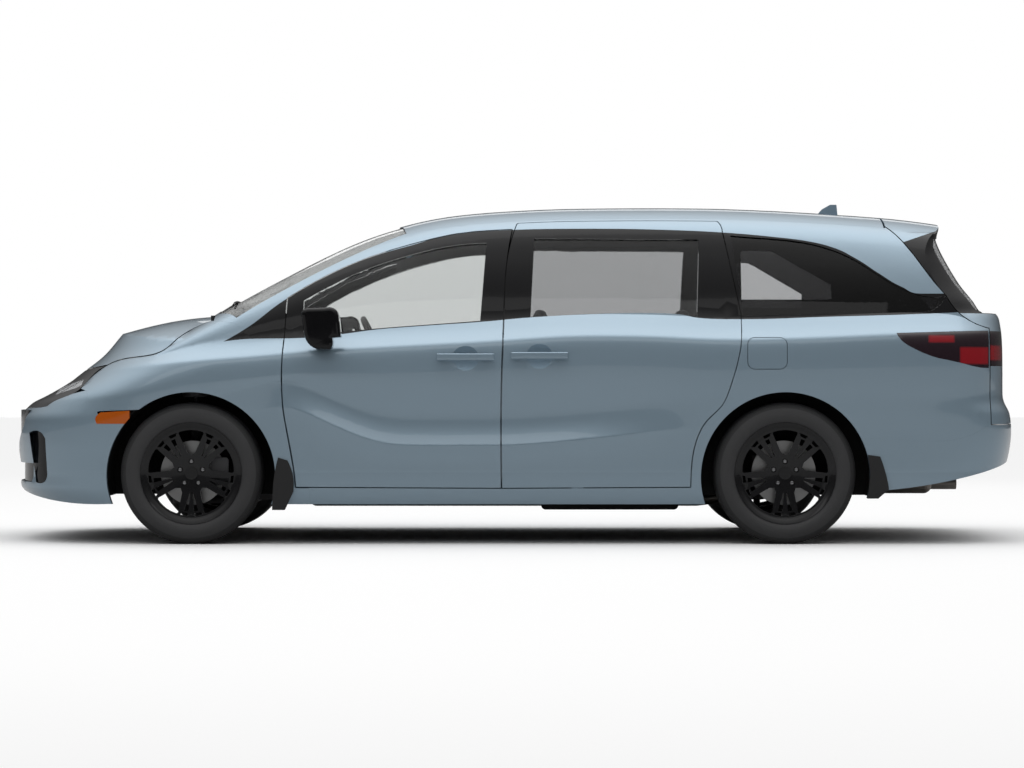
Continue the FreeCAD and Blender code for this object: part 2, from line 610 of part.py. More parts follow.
# Tyre section: bead, sidewall, shoulder and tread grooves
BEAD_LIFT = 4.0
BEAD_SET_IN = 22.0
BEAD_FOOT_SET_IN = 28.0
BEAD_GAP = 0.5
FLANGE_LIFT = 14.0
FLANGE_SET_IN = 12.0
BULGE_LIFT = 45.0
UPPER_WALL_LIFT = 75.0
UPPER_WALL_SET_IN = 3.0
SHOULDER_DROP = 16.0
SHOULDER_SET_IN = 16.0
TREAD_CORNER_DROP = 5.0
TREAD_CORNER_SET_IN = 27.0
TREAD_EDGE_DROP = 1.0
TREAD_EDGE_SET_IN = 40.0
GROOVE_SPACING = 37.0
GROOVE_WIDTH = 10.0
GROOVE_DEPTH = 8.0
GROOVE_DRAFT = 1.0

# Rim barrel, lips and dished face
RIM_LIP_SET_IN = 8.0
RIM_WALL = 8.0
LIP_FOOT_LIFT = 2.0
BACK_LIP_SET_IN = 16.0
FACE_BAND_WIDTH = 16.0
FACE_BAND_SET_IN = 22.0
FACE_BAND_DEPTH = 8.0
BARREL_START = 44.0
FACE_SET_IN = 20.0
FACE_EDGE_DROP = 2.0
FACE_CROWN_DROP = 1.0
FACE_SHOULDER = 30.0
SPOKE_DEPTH = 26.0
SPOKE_ROOT = 14.0
HUB_PAD_RADIUS = 88.0
HUB_NECK_RADIUS = 100.0
HUB_NECK_RISE = 14.0
HUB_FACE_RADIUS = 70.0
HUB_FACE_DROP = 10.0
CAP_DROP = 8.0
CAP_BACK = 12.0
NUT_BORE_RADIUS = 14.0
NUT_SEAT_THICKNESS = 16.0
BOLT_HOLE_RADIUS = 7.5
WHEEL_OFFSET = 50.0
HUB_BORE_RADIUS = 32.0
BOLT_CIRCLE_RADIUS = 60.0
BOLT_COUNT = 5
# Openings in the rim's face for one of its spoke bunches, as shares of RIM_RADIUS
SPOKE_COUNT = 5
WINDOW_shares = (
    (0.0, 0.38), (0.085, 0.44), (0.26, 0.83), (0.24, 0.865), (0.12, 0.895), (0.0, 0.905),
    (-0.12, 0.895), (-0.24, 0.865), (-0.26, 0.83), (-0.085, 0.44),
)
SLIT_shares = ((0.022, 0.42), (0.040, 0.42), (0.150, 0.78), (0.060, 0.80))
OUTER_SLOT_shares = ((0.075, 0.835), (0.200, 0.815), (0.235, 0.865), (0.080, 0.900))

# Brake disc and caliper
DISC_RADIUS = 163.0
DISC_THICKNESS = 28.0
DISC_SET_BACK = 45.0
HAT_RADIUS = 86.0
HAT_WALL = 8.0
DISC_CLEARANCE = 6.0
CALIPER_X = 96.0
CALIPER_WIDTH = 88.0
CALIPER_OUTER = 38.0
CALIPER_DEPTH = 104.0
CALIPER_LOW = 62.0
CALIPER_HIGH = 78.0
CALIPER_ROUND = 14.0
LINK_X = 30.0
LINK_LENGTH = 100.0
LINK_LOW = 38.0
LINK_HIGH = 52.0
LINK_ROUND = 6.0

# Steered wheel carriers and front suspension
KINGPIN_FOOT = (800.0, 220.0)
KINGPIN_HEAD = (690.0, 711.0)
KINGPIN_TOP_share = 1.10
STUB_OVERHANG = 8.0
STUB_LENGTH = 118.0
UPRIGHT_HALF_WIDTH = 38.0
UPRIGHT_SET_BACK = 40.0
UPRIGHT_THICKNESS = 45.0
UPRIGHT_LOW = 246.0
UPRIGHT_HIGH = 470.0
UPRIGHT_ROUND = 12.0
BALL_RADIUS = 15.0
BALL_PIN_RADIUS = 12.0
BALL_PIN_Y = 790.0
BALL_PIN_LEVEL = 262.0
STEERING_ARM_LENGTH = 118.0
STEERING_ARM_Y = 735.0
STEERING_ARM_RADIUS = 14.0
STEERING_ARM_LEVEL = 300.0
CARRIER_MIDDLE = 22.0
DAMPER_MOUNT_LEVEL = 452.0
DAMPER_MOUNT_RADIUS = 24.0
DAMPER_RADIUS = 27.0
DAMPER_FOOT_share = 0.62
DAMPER_HEAD_share = 0.97
DAMPER_BORE_share = 0.86
PISTON_FOOT_share = 0.88
PISTON_RADIUS = 12.0
STRUT_MOUNT_RADIUS = 70.0
STRUT_MOUNT_LEVEL = 742.0
STRUT_MOUNT_HEIGHT = 48.0
STRUT_MOUNT_LEAN = 4.0
ARM_LEVEL = 196.0
ARM_THICKNESS = 22.0
ARM_TIP_Y = 792.0
ARM_TIP_HALF_WIDTH = 18.0
ARM_CUP_RADIUS = 25.0
ARM_REAR_REACH = 190.0
ARM_FRONT_REACH = 120.0
ARM_ROOT_Y = 410.0
ARM_ROOT_WIDTH = 60.0
ARM_NOTCH_Y = 560.0
ARM_NOTCH_X = 10.0
ARM_INNER_Y = 400.0
PIN_SLOT_RADIUS = 16.0
PIN_SLOT_Y = 780.0
PIN_SLOT_LEVEL = 304.0
SUBFRAME_FRONT = 150.0
SUBFRAME_REAR = 275.0
SUBFRAME_HALF_WIDTH = 430.0
SUBFRAME_LOW = 186.0
SUBFRAME_HIGH = 250.0
SUBFRAME_ROUND = 24.0
HORN_WIDTH = 60.0
HORN_Y = 370.0
HORN_LOW = 205.0
HORN_OVERLAP = 25.0
RACK_X = 236.0
RACK_LEVEL = 286.0
RACK_RADIUS = 28.0
RACK_HALF_LENGTH = 420.0
RACK_BOX_WIDTH = 60.0
RACK_BOX_HALF_LENGTH = 60.0
RACK_BOX_LOW = 245.0
RACK_BOX_HIGH = 290.0

# Rear suspension
BEAM_SET_FORWARD = 40.0
BEAM_LEVEL = 300.0
BEAM_HALF_LENGTH = 640.0
BEAM_RADIUS = 38.0
REAR_CARRIER_HALF = 60.0
REAR_CARRIER_Y = 660.0
REAR_CARRIER_THICKNESS = 40.0
REAR_CARRIER_LOW = 270.0
REAR_CARRIER_HIGH = 430.0
REAR_CARRIER_ROUND = 12.0
TRAILING_ARM_Y = 585.0
TRAILING_ARM_RADIUS = 24.0
TRAILING_ARM_END = 30.0
REAR_DAMPER_X = 70.0
REAR_DAMPER_TOP_X = 40.0
REAR_DAMPER_Y = 645.0
REAR_DAMPER_LOW = 320.0
REAR_DAMPER_HIGH = 640.0
SPRING_RADIUS = 55.0
SPRING_Y = 520.0
SPRING_LOW = 330.0

# Wheelhouses and liners
WHEELHOUSE_RADIUS = 440.0
LINER_THICKNESS = 5.0
FRONT_LINER_INNER = 528.0
REAR_LINER_INNER = 690.0
LINER_LOW_share = 0.138
LINER_WINDOW_HALF = 150.0
LINER_WINDOW_LOW = 150.0
LINER_WINDOW_HIGH = 480.0
LINER_WINDOW_ROUND = 40.0
STRUT_HOLE_RADIUS = 85.0
STRUT_HOLE_Y = 700.0
STRUT_HOLE_LOW = 620.0
STRUT_HOLE_HEIGHT = 400.0


def smooth(table, t):
    """Value at t on a smooth curve through (place, value) pairs, without overshoot."""
    if t <= table[0][0]:
        return table[0][1]
    if t >= table[-1][0]:
        return table[-1][1]
    i = max(k for k in range(len(table) - 1) if table[k][0] <= t)

    def grade(k):
        return (table[k + 1][1] - table[k][1]) / (table[k + 1][0] - table[k][0])

    def slope(k):
        if k == 0:
            return grade(0)
        if k == len(table) - 1:
            return grade(k - 1)
        before, after = grade(k - 1), grade(k)
        return 0.0 if before * after <= 0 else 2 * before * after / (before + after)

    span = table[i + 1][0] - table[i][0]
    u = (t - table[i][0]) / span
    return (
        (2 * u ** 3 - 3 * u ** 2 + 1) * table[i][1]
        + (u ** 3 - 2 * u ** 2 + u) * span * slope(i)
        + (3 * u ** 2 - 2 * u ** 3) * table[i + 1][1]
        + (u ** 3 - u ** 2) * span * slope(i + 1)
    )


def clamped_knots(count):
    inner = count - 4
    return [float(i) for i in range(inner + 2)], [4] + [1] * inner + [4]


def sheet(columns, closed=False):
    """Cubic surface over a net of points; closed wraps it round into a tube."""
    along, along_times = clamped_knots(len(columns))
    if closed:
        along = [float(i) for i in range(len(columns) + 1)]
        along_times = [1] * (len(columns) + 1)
    up, up_times = clamped_knots(len(columns[0]))
    surface = Part.BSplineSurface()
    surface.buildFromPolesMultsKnots(
        columns, along_times, up_times, along, up, closed, False, 3, 3
    )
    return surface.toShape()


def sewn(faces):
    shell = Part.makeShell(faces)
    shell.sewShape()
    solid = Part.Solid(shell)
    if solid.Volume < 0:
        solid.reverse()
    return solid


def side_point(x, row_shares, inset):
    """Point on the left side of the lower body, with the shoulder and the door crease in it."""
    level_share, width_share, shoulder_share, crease_share, push_share = row_shares
    x_share = x / LENGTH
    rise = smooth(SHOULDER_LINE_shares, x_share) - SHOULDER_LEVEL_share
    lift = smooth(CREASE_LINE_shares, x_share) - CREASE_LEVEL_share
    level = level_share + shoulder_share * rise + crease_share * lift
    width = width_share + push_share * smooth(CREASE_STRENGTH_shares, x_share)
    return V(x, -(width * HALF_WIDTH - inset), level * HEIGHT)


@functools.lru_cache(maxsize=None)
def lower_body(inset):
    """Closed solid inside the body side surface, moved inwards by inset.

    The inside of a wall needs only every second row and column of the net.
    """
    step = 1 if inset < SKIN else INNER_NET_STEP
    rows_shares = SIDE_PROFILE_shares[:-1:step] + SIDE_PROFILE_shares[-1:]
    corner_front = NOSE_CORNER_share * LENGTH
    corner_rear = TAIL_CORNER_share * LENGTH
    columns = []

    def column(kind, t):
        points = []
        for row_shares in rows_shares:
            nose = smooth(NOSE_LINE_shares, row_shares[0]) * LENGTH + inset
            tail = smooth(TAIL_LINE_shares, row_shares[0]) * LENGTH - inset
            front, rear = nose + corner_front, tail - corner_rear
            if kind == "nose":
                x = front - corner_front * math.cos(t) ** (2 / NOSE_POWER)
                bend = math.sin(t) ** (2 / NOSE_POWER)
            elif kind == "tail":
                x = rear + corner_rear * math.cos(t) ** (2 / TAIL_POWER)
                bend = math.sin(t) ** (2 / TAIL_POWER)
            else:
                x, bend = front + (rear - front) * t, 1.0
            p = side_point(x, row_shares, inset)
            points.append(V(p.x, p.y * bend, p.z))
        return points

    for i in range(0, NOSE_STEPS, step):
        columns.append(column("nose", math.pi / 2 * i / NOSE_STEPS))
    for i in range(0, SIDE_STEPS + 1, step):
        columns.append(column("side", i / SIDE_STEPS))
    for i in range(TAIL_STEPS - step, -1, -step):
        columns.append(column("tail", math.pi / 2 * i / TAIL_STEPS))
    columns += [[V(p.x, -p.y, p.z) for p in c] for c in reversed(columns[1:-1])]
    tube = sheet(columns, closed=True)
    middle = (tube.BoundBox.ZMin + tube.BoundBox.ZMax) / 2
    faces = [tube]
    for below in (True, False):
        rims = [
            e for e in tube.Edges if e.isClosed() and (e.BoundBox.ZMax < middle) == below
        ]
        faces.append(Part.Face(Part.Wire(rims)))
    body = sewn(faces)
    return body.cut(above_bonnet(inset))


def above_bonnet(inset):
    """Everything above the bonnet surface, which carries on flat under the cabin."""
    first, last = BONNET_LINE_shares[0][0], BONNET_LINE_shares[-1][0]
    columns = []
    for i in range(BONNET_STATIONS + 1):
        x_share = first + (last - first) * (i / BONNET_STATIONS) ** BONNET_STEP_POWER
        crest = smooth(BONNET_LINE_shares, x_share)
        fall = smooth(BONNET_FALL_shares, x_share)
        row = []
        for j in range(BONNET_ROWS):
            across = 2 * j / (BONNET_ROWS - 1) - 1
            drop = fall * abs(across) ** BONNET_FALL_POWER
            row.append(V(x_share * LENGTH, across * HALF_WIDTH * BONNET_REACH_share,
                         (crest - drop) * HEIGHT - inset))
        columns.append(row)
    return sheet(columns).extrude(V(0, 0, HEIGHT))


@functools.lru_cache(maxsize=None)
def greenhouse(inset):
    """Closed solid inside the cabin's glass and roof surface, moved inwards by inset."""
    base = GREENHOUSE_BASE_share * HEIGHT
    start = GREENHOUSE_FRONT_share * LENGTH + inset
    finish = HALF_LENGTH + OVERRUN
    columns = []
    for i in range(GREENHOUSE_STATIONS + 1):
        x = start + (finish - start) * i / GREENHOUSE_STATIONS
        peak = smooth(ROOF_LINE_shares, (x - inset) / LENGTH) * HEIGHT - inset
        left = []
        for h in SIDE_ROWS_shares:
            f = (1 - h ** ROOF_ROUND_POWER) ** (1 / ROOF_SIDE_POWER)
            left.append((h, f))
        for f in CROWN_ROWS_shares + (0.0,):
            left.append(((1 - f ** ROOF_SIDE_POWER) ** (1 / ROOF_ROUND_POWER), f))
        points = []
        for h, f in left:
            crown = ROOF_CROWN_share * HEIGHT * f ** 2
            z = base + (peak - crown - base) * h
            lean = smooth(LEAN_shares, (z + inset * h) / HEIGHT) * HALF_WIDTH - inset
            points.append(V(x, -lean * f, z))
        columns.append(points + [V(p.x, -p.y, p.z) for p in reversed(points[:-1])])
    skin = sheet(columns)
    ends = [
        Part.Face(Part.Wire([
            max((e for e in skin.Edges if abs(e.BoundBox.XMax - x) < CLOSE
                 and e.BoundBox.XMax - e.BoundBox.XMin < CLOSE), key=lambda e: e.Length),
            Part.LineSegment(
                V(x, columns[k][0].y, base), V(x, columns[k][-1].y, base)).toShape(),
        ]))
        for k, x in ((0, start), (-1, finish))
    ]
    floor_edges = [
        e for e in skin.Edges if e.BoundBox.ZMax - e.BoundBox.ZMin < CLOSE
        and e.BoundBox.XMax - e.BoundBox.XMin > HALF_LENGTH
    ]
    for k, x in ((0, start), (-1, finish)):
        floor_edges.append(
            Part.LineSegment(
                V(x, columns[k][0].y, base), V(x, columns[k][-1].y, base)).toShape())
    floor = Part.Face(Part.Wire(Part.__sortEdges__(floor_edges)))
    return sewn([skin, floor] + ends).cut(behind_rear_face(inset))


def behind_rear_face(inset):
    """Everything behind the tailgate's surface."""
    low, high = REAR_FACE_shares[0][0], REAR_FACE_shares[-1][0]
    columns = []
    for i in range(REAR_FACE_LEVELS + 1):
        z_share = low + (high - low) * i / REAR_FACE_LEVELS
        depth = smooth(REAR_FACE_shares, z_share) * LENGTH - inset
        half = smooth(LEAN_shares, min(z_share, 1.0)) * HALF_WIDTH
        row = []
        for j in range(REAR_FACE_ROWS):
            across = (2 * j / (REAR_FACE_ROWS - 1) - 1) * REAR_FACE_REACH_share
            bow = REAR_BOW_share * abs(across) ** REAR_BOW_POWER
            round_off = REAR_ROUND_share * abs(across) ** REAR_ROUND_POWER
            row.append(V(depth - (bow + min(round_off, REAR_ROUND_LIMIT_share)) * LENGTH, across * half,
                         z_share * HEIGHT))
        columns.append(row)
    face = sheet(columns)
    return face.extrude(V(LENGTH, 0, 0))


def loop(runs, y=0.0):
    """Closed wire in the side view from runs of shares."""
    edges = []
    for run in runs:
        points = [V(x * LENGTH, y, z * HEIGHT) for x, z in run]
        if len(points) == 2:
            edges.append(Part.LineSegment(*points).toShape())
        else:
            curve = Part.BSplineCurve()
            curve.interpolate(points)
            edges.append(curve.toShape())
    return Part.Wire(edges)


def grown(wire, distance):
    """Flat closed wire moved outwards by distance, as a fine chain of straight lines."""
    outline = Part.Face(wire).makeOffset2D(distance, 0, False, False, False).Wires[0]
    deflection = min(OFFSET_DEFLECTION, CHAIN_share * abs(distance))
    points = []
    for edge in outline.OrderedEdges:
        run = edge.discretize(Deflection=deflection)
        if edge.Orientation == "Reversed":
            run.reverse()
        if points and run[0].distanceToPoint(points[-1]) > run[-1].distanceToPoint(points[-1]):
            run.reverse()
        points += [p for p in run if not points or p.distanceToPoint(points[-1]) > CLOSE]
    if points[0].distanceToPoint(points[-1]) < CLOSE:
        points.pop()
    return Part.makePolygon(points + [points[0]])


def side_prism(runs, near, far, grow=0.0):
    """Side view outline carried across the vehicle from near to far, grown by a gap."""
    wire = loop(runs, near)
    if grow:
        wire = grown(wire, grow)
    return Part.Face(wire).extrude(V(0, far - near, 0))


def end_prism(half_shares, near, far, grow=0.0):
    """Outline in the end view, from its right half, carried along the vehicle."""
    points = [V(near, y * HALF_WIDTH, z * HEIGHT) for y, z in half_shares]
    points += [V(p.x, -p.y, p.z) for p in reversed(points) if p.y > 0]
    wire = Part.makePolygon(points + [points[0]])
    if grow:
        wire = grown(wire, grow)
    return Part.Face(wire).extrude(V(far - near, 0, 0))


def block(x0, x1, y0, y1, z0, z1):
    return Part.makeBox(x1 - x0, y1 - y0, z1 - z0, V(x0, y0, z0))


def mirrored(shape):
    return shape.mirror(V(0, 0, 0), V(0, 1, 0))


def across_cylinder(radius, x, z, y0, y1):
    return Part.makeCylinder(radius, y1 - y0, V(x, y0, z), V(0, 1, 0))


def solids(shape):
    """The shape's solids as one compound, without slivers."""
    return Part.makeCompound([s for s in shape.Solids if s.Volume > SLIVER_SIZE ** 3])


def save(name, shape):
    shape.exportStep(os.path.join("parts", name + ".step"))


def side_wall_y(x, z):
    """Place across the vehicle of the left side's outer surface at x, z on the lower body."""
    ray = Part.LineSegment(V(x, -WIDTH, z), V(x, 0, z)).toShape()
    return min(v.Point.y for v in ray.common(lower_body(0)).Vertexes)


def nose_layer(level_share, set_back, thickness):
    """Upright layer behind the nose surface, which it follows as it is at one level."""
    widths_shares = [row[:2] for row in SIDE_PROFILE_shares]
    half = smooth(widths_shares, level_share) * HALF_WIDTH
    corner = NOSE_CORNER_share * LENGTH
    front = smooth(NOSE_LINE_shares, level_share) * LENGTH + corner
    edges = []
    for inset in (set_back, set_back + thickness):
        points = []
        for i in range(-NOSE_STEPS, NOSE_STEPS + 1):
            turn = math.pi / 2 * abs(i) / NOSE_STEPS
            x = front + inset - corner * math.cos(turn) ** (2 / NOSE_POWER)
            y = (half - inset) * math.sin(turn) ** (2 / NOSE_POWER)
            points.append(V(x, math.copysign(y, i), 0))
        curve = Part.BSplineCurve()
        curve.interpolate(points)
        edges.append(curve.toShape())
    for k in (0, 1):
        a, b = (edge.Vertexes[k].Point for edge in edges[:2])
        edges.append(Part.LineSegment(a, b).toShape())
    return Part.Face(Part.Wire(Part.__sortEdges__(edges))).extrude(V(0, 0, HEIGHT / 2))


def arch(axle_x):
    """Round cutter for the wheel arches of one axle, through both sides."""
    z = TYRE_RADIUS - ARCH_DROP
    return across_cylinder(ARCH_RADIUS, axle_x, z, -WIDTH, WIDTH)


def plan_wire(runs, z):
    """Closed outline in plan, mirrored about the middle, from the right half's runs."""
    edges = []
    for side in (1, -1):
        for run in runs:
            points = [V(x * LENGTH, side * y * HALF_WIDTH, z) for x, y in run]
            if len(points) == 2:
                edges.append(Part.LineSegment(*points).toShape())
            else:
                curve = Part.BSplineCurve()
                curve.interpolate(points)
                edges.append(curve.toShape())
    return Part.Wire(Part.__sortEdges__(edges))


def rounded(x0, x1, y0, y1, z0, z1, radius, axis=None):
    """Box with its edges rounded; axis keeps only the edges along X, Y or Z."""
    shape = block(x0, x1, y0, y1, z0, z1)
    edges = shape.Edges
    if axis:
        edges = [
            e for e in edges
            if abs((e.Vertexes[1].Point - e.Vertexes[0].Point).normalize().dot(axis)) > ALONG_share
        ]
    return shape.makeFillet(radius, edges)


def rod(a, b, radius):
    a, b = V(*a), V(*b)
    return Part.makeCylinder(radius, (b - a).Length, a, b - a)


def turned(profile, x, z):
    """Solid turned about the axle line at x, z from (radius, y) pairs on the left side."""
    points = [V(x, y, z + r) for r, y in profile]
    face = Part.Face(Part.makePolygon(points + [points[0]]))
    return face.revolve(V(x, 0, z), V(0, 1, 0), 360)


def inner_solid(lower_inset, upper_inset):
    """Everything inside the skin, by one inset below the waist and another above it."""
    return lower_body(lower_inset).fuse(greenhouse(upper_inset))


def front_openings(near, far, grow):
    """Cutters of the grille opening, the lower intake and both side slots, grown by a gap."""
    front, back = OPENING_FRONT_share * LENGTH, OPENING_BACK_share * LENGTH
    slot = side_prism(SLOT_shares, near, far, grow)
    return [end_prism(GRILLE_OPENING_shares, front, back, grow),
            end_prism(INTAKE_OPENING_shares, front, back, grow), slot, mirrored(slot)]


def grille_gaps():
    """Openings between the bars of the lower grille."""
    low, high = GRILLE_OPENING_shares[-1][1] * HEIGHT, GRILLE_OPENING_shares[0][1] * HEIGHT
    pitch = (high - low) / GRILLE_BARS
    start, end = (share * HALF_WIDTH for share in BAR_ENDS_shares)
    return [
        block(-LENGTH, OPENING_BACK_share * LENGTH, y0, y1, low + pitch * (i + BAR_share / 2),
              low + pitch * (i + 1 - BAR_share / 2))
        for i in range(GRILLE_BARS) for y0, y1 in ((-end, -start), (start, end))]


def build_tyre(x):
    """Left tyre of the axle at x, with three grooves round its tread."""
    r = TYRE_RADIUS
    wall = [
        (RIM_RADIUS + 2 * BEAD_GAP, BEAD_FOOT_SET_IN), (RIM_RADIUS + BEAD_LIFT, BEAD_SET_IN),
        (RIM_RADIUS + FLANGE_LIFT, FLANGE_SET_IN), (RIM_RADIUS + BULGE_LIFT, 0.0),
        (RIM_RADIUS + UPPER_WALL_LIFT, UPPER_WALL_SET_IN),
        (r - SHOULDER_DROP, SHOULDER_SET_IN), (r - TREAD_CORNER_DROP, TREAD_CORNER_SET_IN),
        (r - TREAD_EDGE_DROP, TREAD_EDGE_SET_IN),
    ]
    profile = [(radius, -WHEEL_Y - TYRE_WIDTH / 2 + set_in) for radius, set_in in wall]
    for k in (-1, 0, 1):
        middle = -WHEEL_Y + k * GROOVE_SPACING
        top, foot = GROOVE_WIDTH / 2, GROOVE_WIDTH / 2 - GROOVE_DRAFT
        profile += [(r, middle - top), (r - GROOVE_DEPTH, middle - foot),
                    (r - GROOVE_DEPTH, middle + foot), (r, middle + top)]
    profile += [
        (radius, -WHEEL_Y + TYRE_WIDTH / 2 - set_in) for radius, set_in in reversed(wall)]
    return turned(profile, x, TYRE_RADIUS)


def spoke_holes(x, out):
    """Cutters through the rim's face between and inside its spoke bunches."""
    cutters = []
    openings = [(WINDOW_shares, 0.5, 1)]
    for outline in (SLIT_shares, OUTER_SLOT_shares):
        openings += [(outline, 0.0, -1), (outline, 0.0, 1)]
    for i in range(SPOKE_COUNT):
        for outline, turn, side in openings:
            corners = [
                V(x + side * px * RIM_RADIUS, out - TYRE_WIDTH / 2,
                  TYRE_RADIUS + pz * RIM_RADIUS)
                for px, pz in outline]
            hole = Part.Face(Part.makePolygon(corners + [corners[0]]))
            hole = hole.extrude(V(0, TYRE_WIDTH, 0))
            hole.rotate(V(x, 0, TYRE_RADIUS), V(0, 1, 0), 360 * (i + turn + 0.5) / SPOKE_COUNT)
            cutters.append(hole)
    return cutters


def build_rim(x):
    """Left rim of the axle at x: barrel, dished face, spokes, nut bores and blank cap."""
    out, back = -WHEEL_Y - TYRE_WIDTH / 2, -WHEEL_Y + TYRE_WIDTH / 2
    flange, hump = RIM_RADIUS + FLANGE_LIFT, RIM_RADIUS + BEAD_LIFT - BEAD_GAP
    inner, band = RIM_RADIUS - RIM_WALL, RIM_RADIUS - FACE_BAND_WIDTH
    barrel = turned([
        (flange, out + RIM_LIP_SET_IN), (flange, out + FLANGE_SET_IN - BEAD_GAP),
        (hump, out + BEAD_SET_IN - 2 * BEAD_GAP), (RIM_RADIUS, out + BEAD_FOOT_SET_IN),
        (RIM_RADIUS, back - BEAD_FOOT_SET_IN), (hump, back - BEAD_SET_IN + 2 * BEAD_GAP),
        (flange, back - FLANGE_SET_IN + BEAD_GAP), (flange, back - RIM_LIP_SET_IN),
        (RIM_RADIUS + LIP_FOOT_LIFT, back - BACK_LIP_SET_IN),
        (inner, back - BEAD_FOOT_SET_IN), (inner, out + BARREL_START),
        (band, out + FACE_BAND_SET_IN + FACE_BAND_DEPTH), (band, out + FACE_BAND_SET_IN),
        (RIM_RADIUS + LIP_FOOT_LIFT, out + FLANGE_SET_IN),
    ], x, TYRE_RADIUS)
    face_y = out + FACE_SET_IN
    hub_y = -WHEEL_Y - WHEEL_OFFSET
    dish = turned([
        (HUB_BORE_RADIUS, hub_y), (HUB_PAD_RADIUS, hub_y),
        (HUB_NECK_RADIUS, hub_y - HUB_NECK_RISE),
        (RIM_RADIUS - SPOKE_ROOT, face_y + SPOKE_DEPTH), (inner, face_y + SPOKE_DEPTH),
        (inner, face_y + FACE_EDGE_DROP), (RIM_RADIUS - FACE_SHOULDER, face_y + FACE_CROWN_DROP),
        (HUB_FACE_RADIUS, face_y + HUB_FACE_DROP),
        (HUB_BORE_RADIUS, face_y + HUB_FACE_DROP + FACE_EDGE_DROP),
    ], x, TYRE_RADIUS)
    cutters = spoke_holes(x, out)
    for i in range(BOLT_COUNT):
        turn = 2 * math.pi * i / BOLT_COUNT
        bolt_x = x + BOLT_CIRCLE_RADIUS * math.sin(turn)
        bolt_z = TYRE_RADIUS + BOLT_CIRCLE_RADIUS * math.cos(turn)
        seat_y = hub_y - NUT_SEAT_THICKNESS
        cutters.append(across_cylinder(NUT_BORE_RADIUS, bolt_x, bolt_z, out, seat_y))
        cutters.append(across_cylinder(BOLT_HOLE_RADIUS, bolt_x, bolt_z, out, back))
    cap = across_cylinder(HUB_BORE_RADIUS, x, TYRE_RADIUS, face_y + CAP_DROP,
                          hub_y - CAP_BACK)
    return barrel.fuse([dish.cut(cutters), cap]).removeSplitter()


def build_disc(x):
    """Left brake disc with its hat, bolted to the rim's hub pad."""
    hub_y = -WHEEL_Y - WHEEL_OFFSET
    y = hub_y + DISC_SET_BACK
    return turned([
        (HUB_BORE_RADIUS, hub_y + SEAT), (HAT_RADIUS, hub_y + SEAT), (HAT_RADIUS, y),
        (DISC_RADIUS, y), (DISC_RADIUS, y + DISC_THICKNESS),
        (HAT_RADIUS - HAT_WALL, y + DISC_THICKNESS), (HAT_RADIUS - HAT_WALL, hub_y + HAT_WALL),
        (HUB_BORE_RADIUS, hub_y + HAT_WALL),
    ], x, TYRE_RADIUS)


def along_kingpin(x, share):
    """Place on the left kingpin line, from its foot at 0 to its head at 1."""
    ends = zip((x, -KINGPIN_FOOT[0], KINGPIN_FOOT[1]), (x, -KINGPIN_HEAD[0], KINGPIN_HEAD[1]))
    return [a + (b - a) * share for a, b in ends]


def build_knuckle(x):
    """Left front wheel carrier with its stub, caliper and the damper's lower tube."""
    hub_y = -WHEEL_Y - WHEEL_OFFSET
    disc_y = hub_y + DISC_SET_BACK
    foot = along_kingpin(x, 0)
    mid = along_kingpin(x, DAMPER_FOOT_share)
    top = along_kingpin(x, DAMPER_HEAD_share)
    upright_y = disc_y + UPRIGHT_SET_BACK
    middle_y = upright_y + CARRIER_MIDDLE
    stub_y = hub_y - STUB_OVERHANG
    stub = across_cylinder(HUB_BORE_RADIUS - SEAT, x, TYRE_RADIUS, stub_y, stub_y + STUB_LENGTH)
    upright = rounded(x - UPRIGHT_HALF_WIDTH, x + UPRIGHT_HALF_WIDTH, upright_y,
                      upright_y + UPRIGHT_THICKNESS, UPRIGHT_LOW, UPRIGHT_HIGH, UPRIGHT_ROUND,
                      V(0, 1, 0))
    pin = rod(foot, [x, -BALL_PIN_Y, BALL_PIN_LEVEL], BALL_PIN_RADIUS)
    lower = pin.fuse(Part.makeSphere(BALL_RADIUS, V(*foot)))
    arm = rod([x, middle_y, STEERING_ARM_LEVEL],
              [x + STEERING_ARM_LENGTH, -STEERING_ARM_Y, BALL_PIN_LEVEL], STEERING_ARM_RADIUS)
    mount = rod([x, middle_y, DAMPER_MOUNT_LEVEL], mid, DAMPER_MOUNT_RADIUS)
    bore = rod(along_kingpin(x, DAMPER_BORE_share), along_kingpin(x, KINGPIN_TOP_share),
               PISTON_RADIUS + SEAT)
    damper = rod(mid, top, DAMPER_RADIUS).cut(bore)
    caliper_y = disc_y - CALIPER_OUTER
    caliper = rounded(x + CALIPER_X, x + CALIPER_X + CALIPER_WIDTH, caliper_y,
                      caliper_y + CALIPER_DEPTH, TYRE_RADIUS - CALIPER_LOW,
                      TYRE_RADIUS + CALIPER_HIGH, CALIPER_ROUND, V(0, 1, 0))
    near, far = disc_y - DISC_CLEARANCE, disc_y + DISC_THICKNESS + DISC_CLEARANCE
    slot = turned([
        (HAT_RADIUS + DISC_CLEARANCE, near), (DISC_RADIUS + DISC_CLEARANCE, near),
        (DISC_RADIUS + DISC_CLEARANCE, far), (HAT_RADIUS + DISC_CLEARANCE, far),
    ], x, TYRE_RADIUS)
    link = rounded(x + LINK_X, x + LINK_X + LINK_LENGTH, upright_y + SEAT, middle_y,
                   TYRE_RADIUS - LINK_LOW, TYRE_RADIUS + LINK_HIGH, LINK_ROUND)
    return stub.fuse([upright, lower, arm, mount, damper, caliper.cut(slot), link])


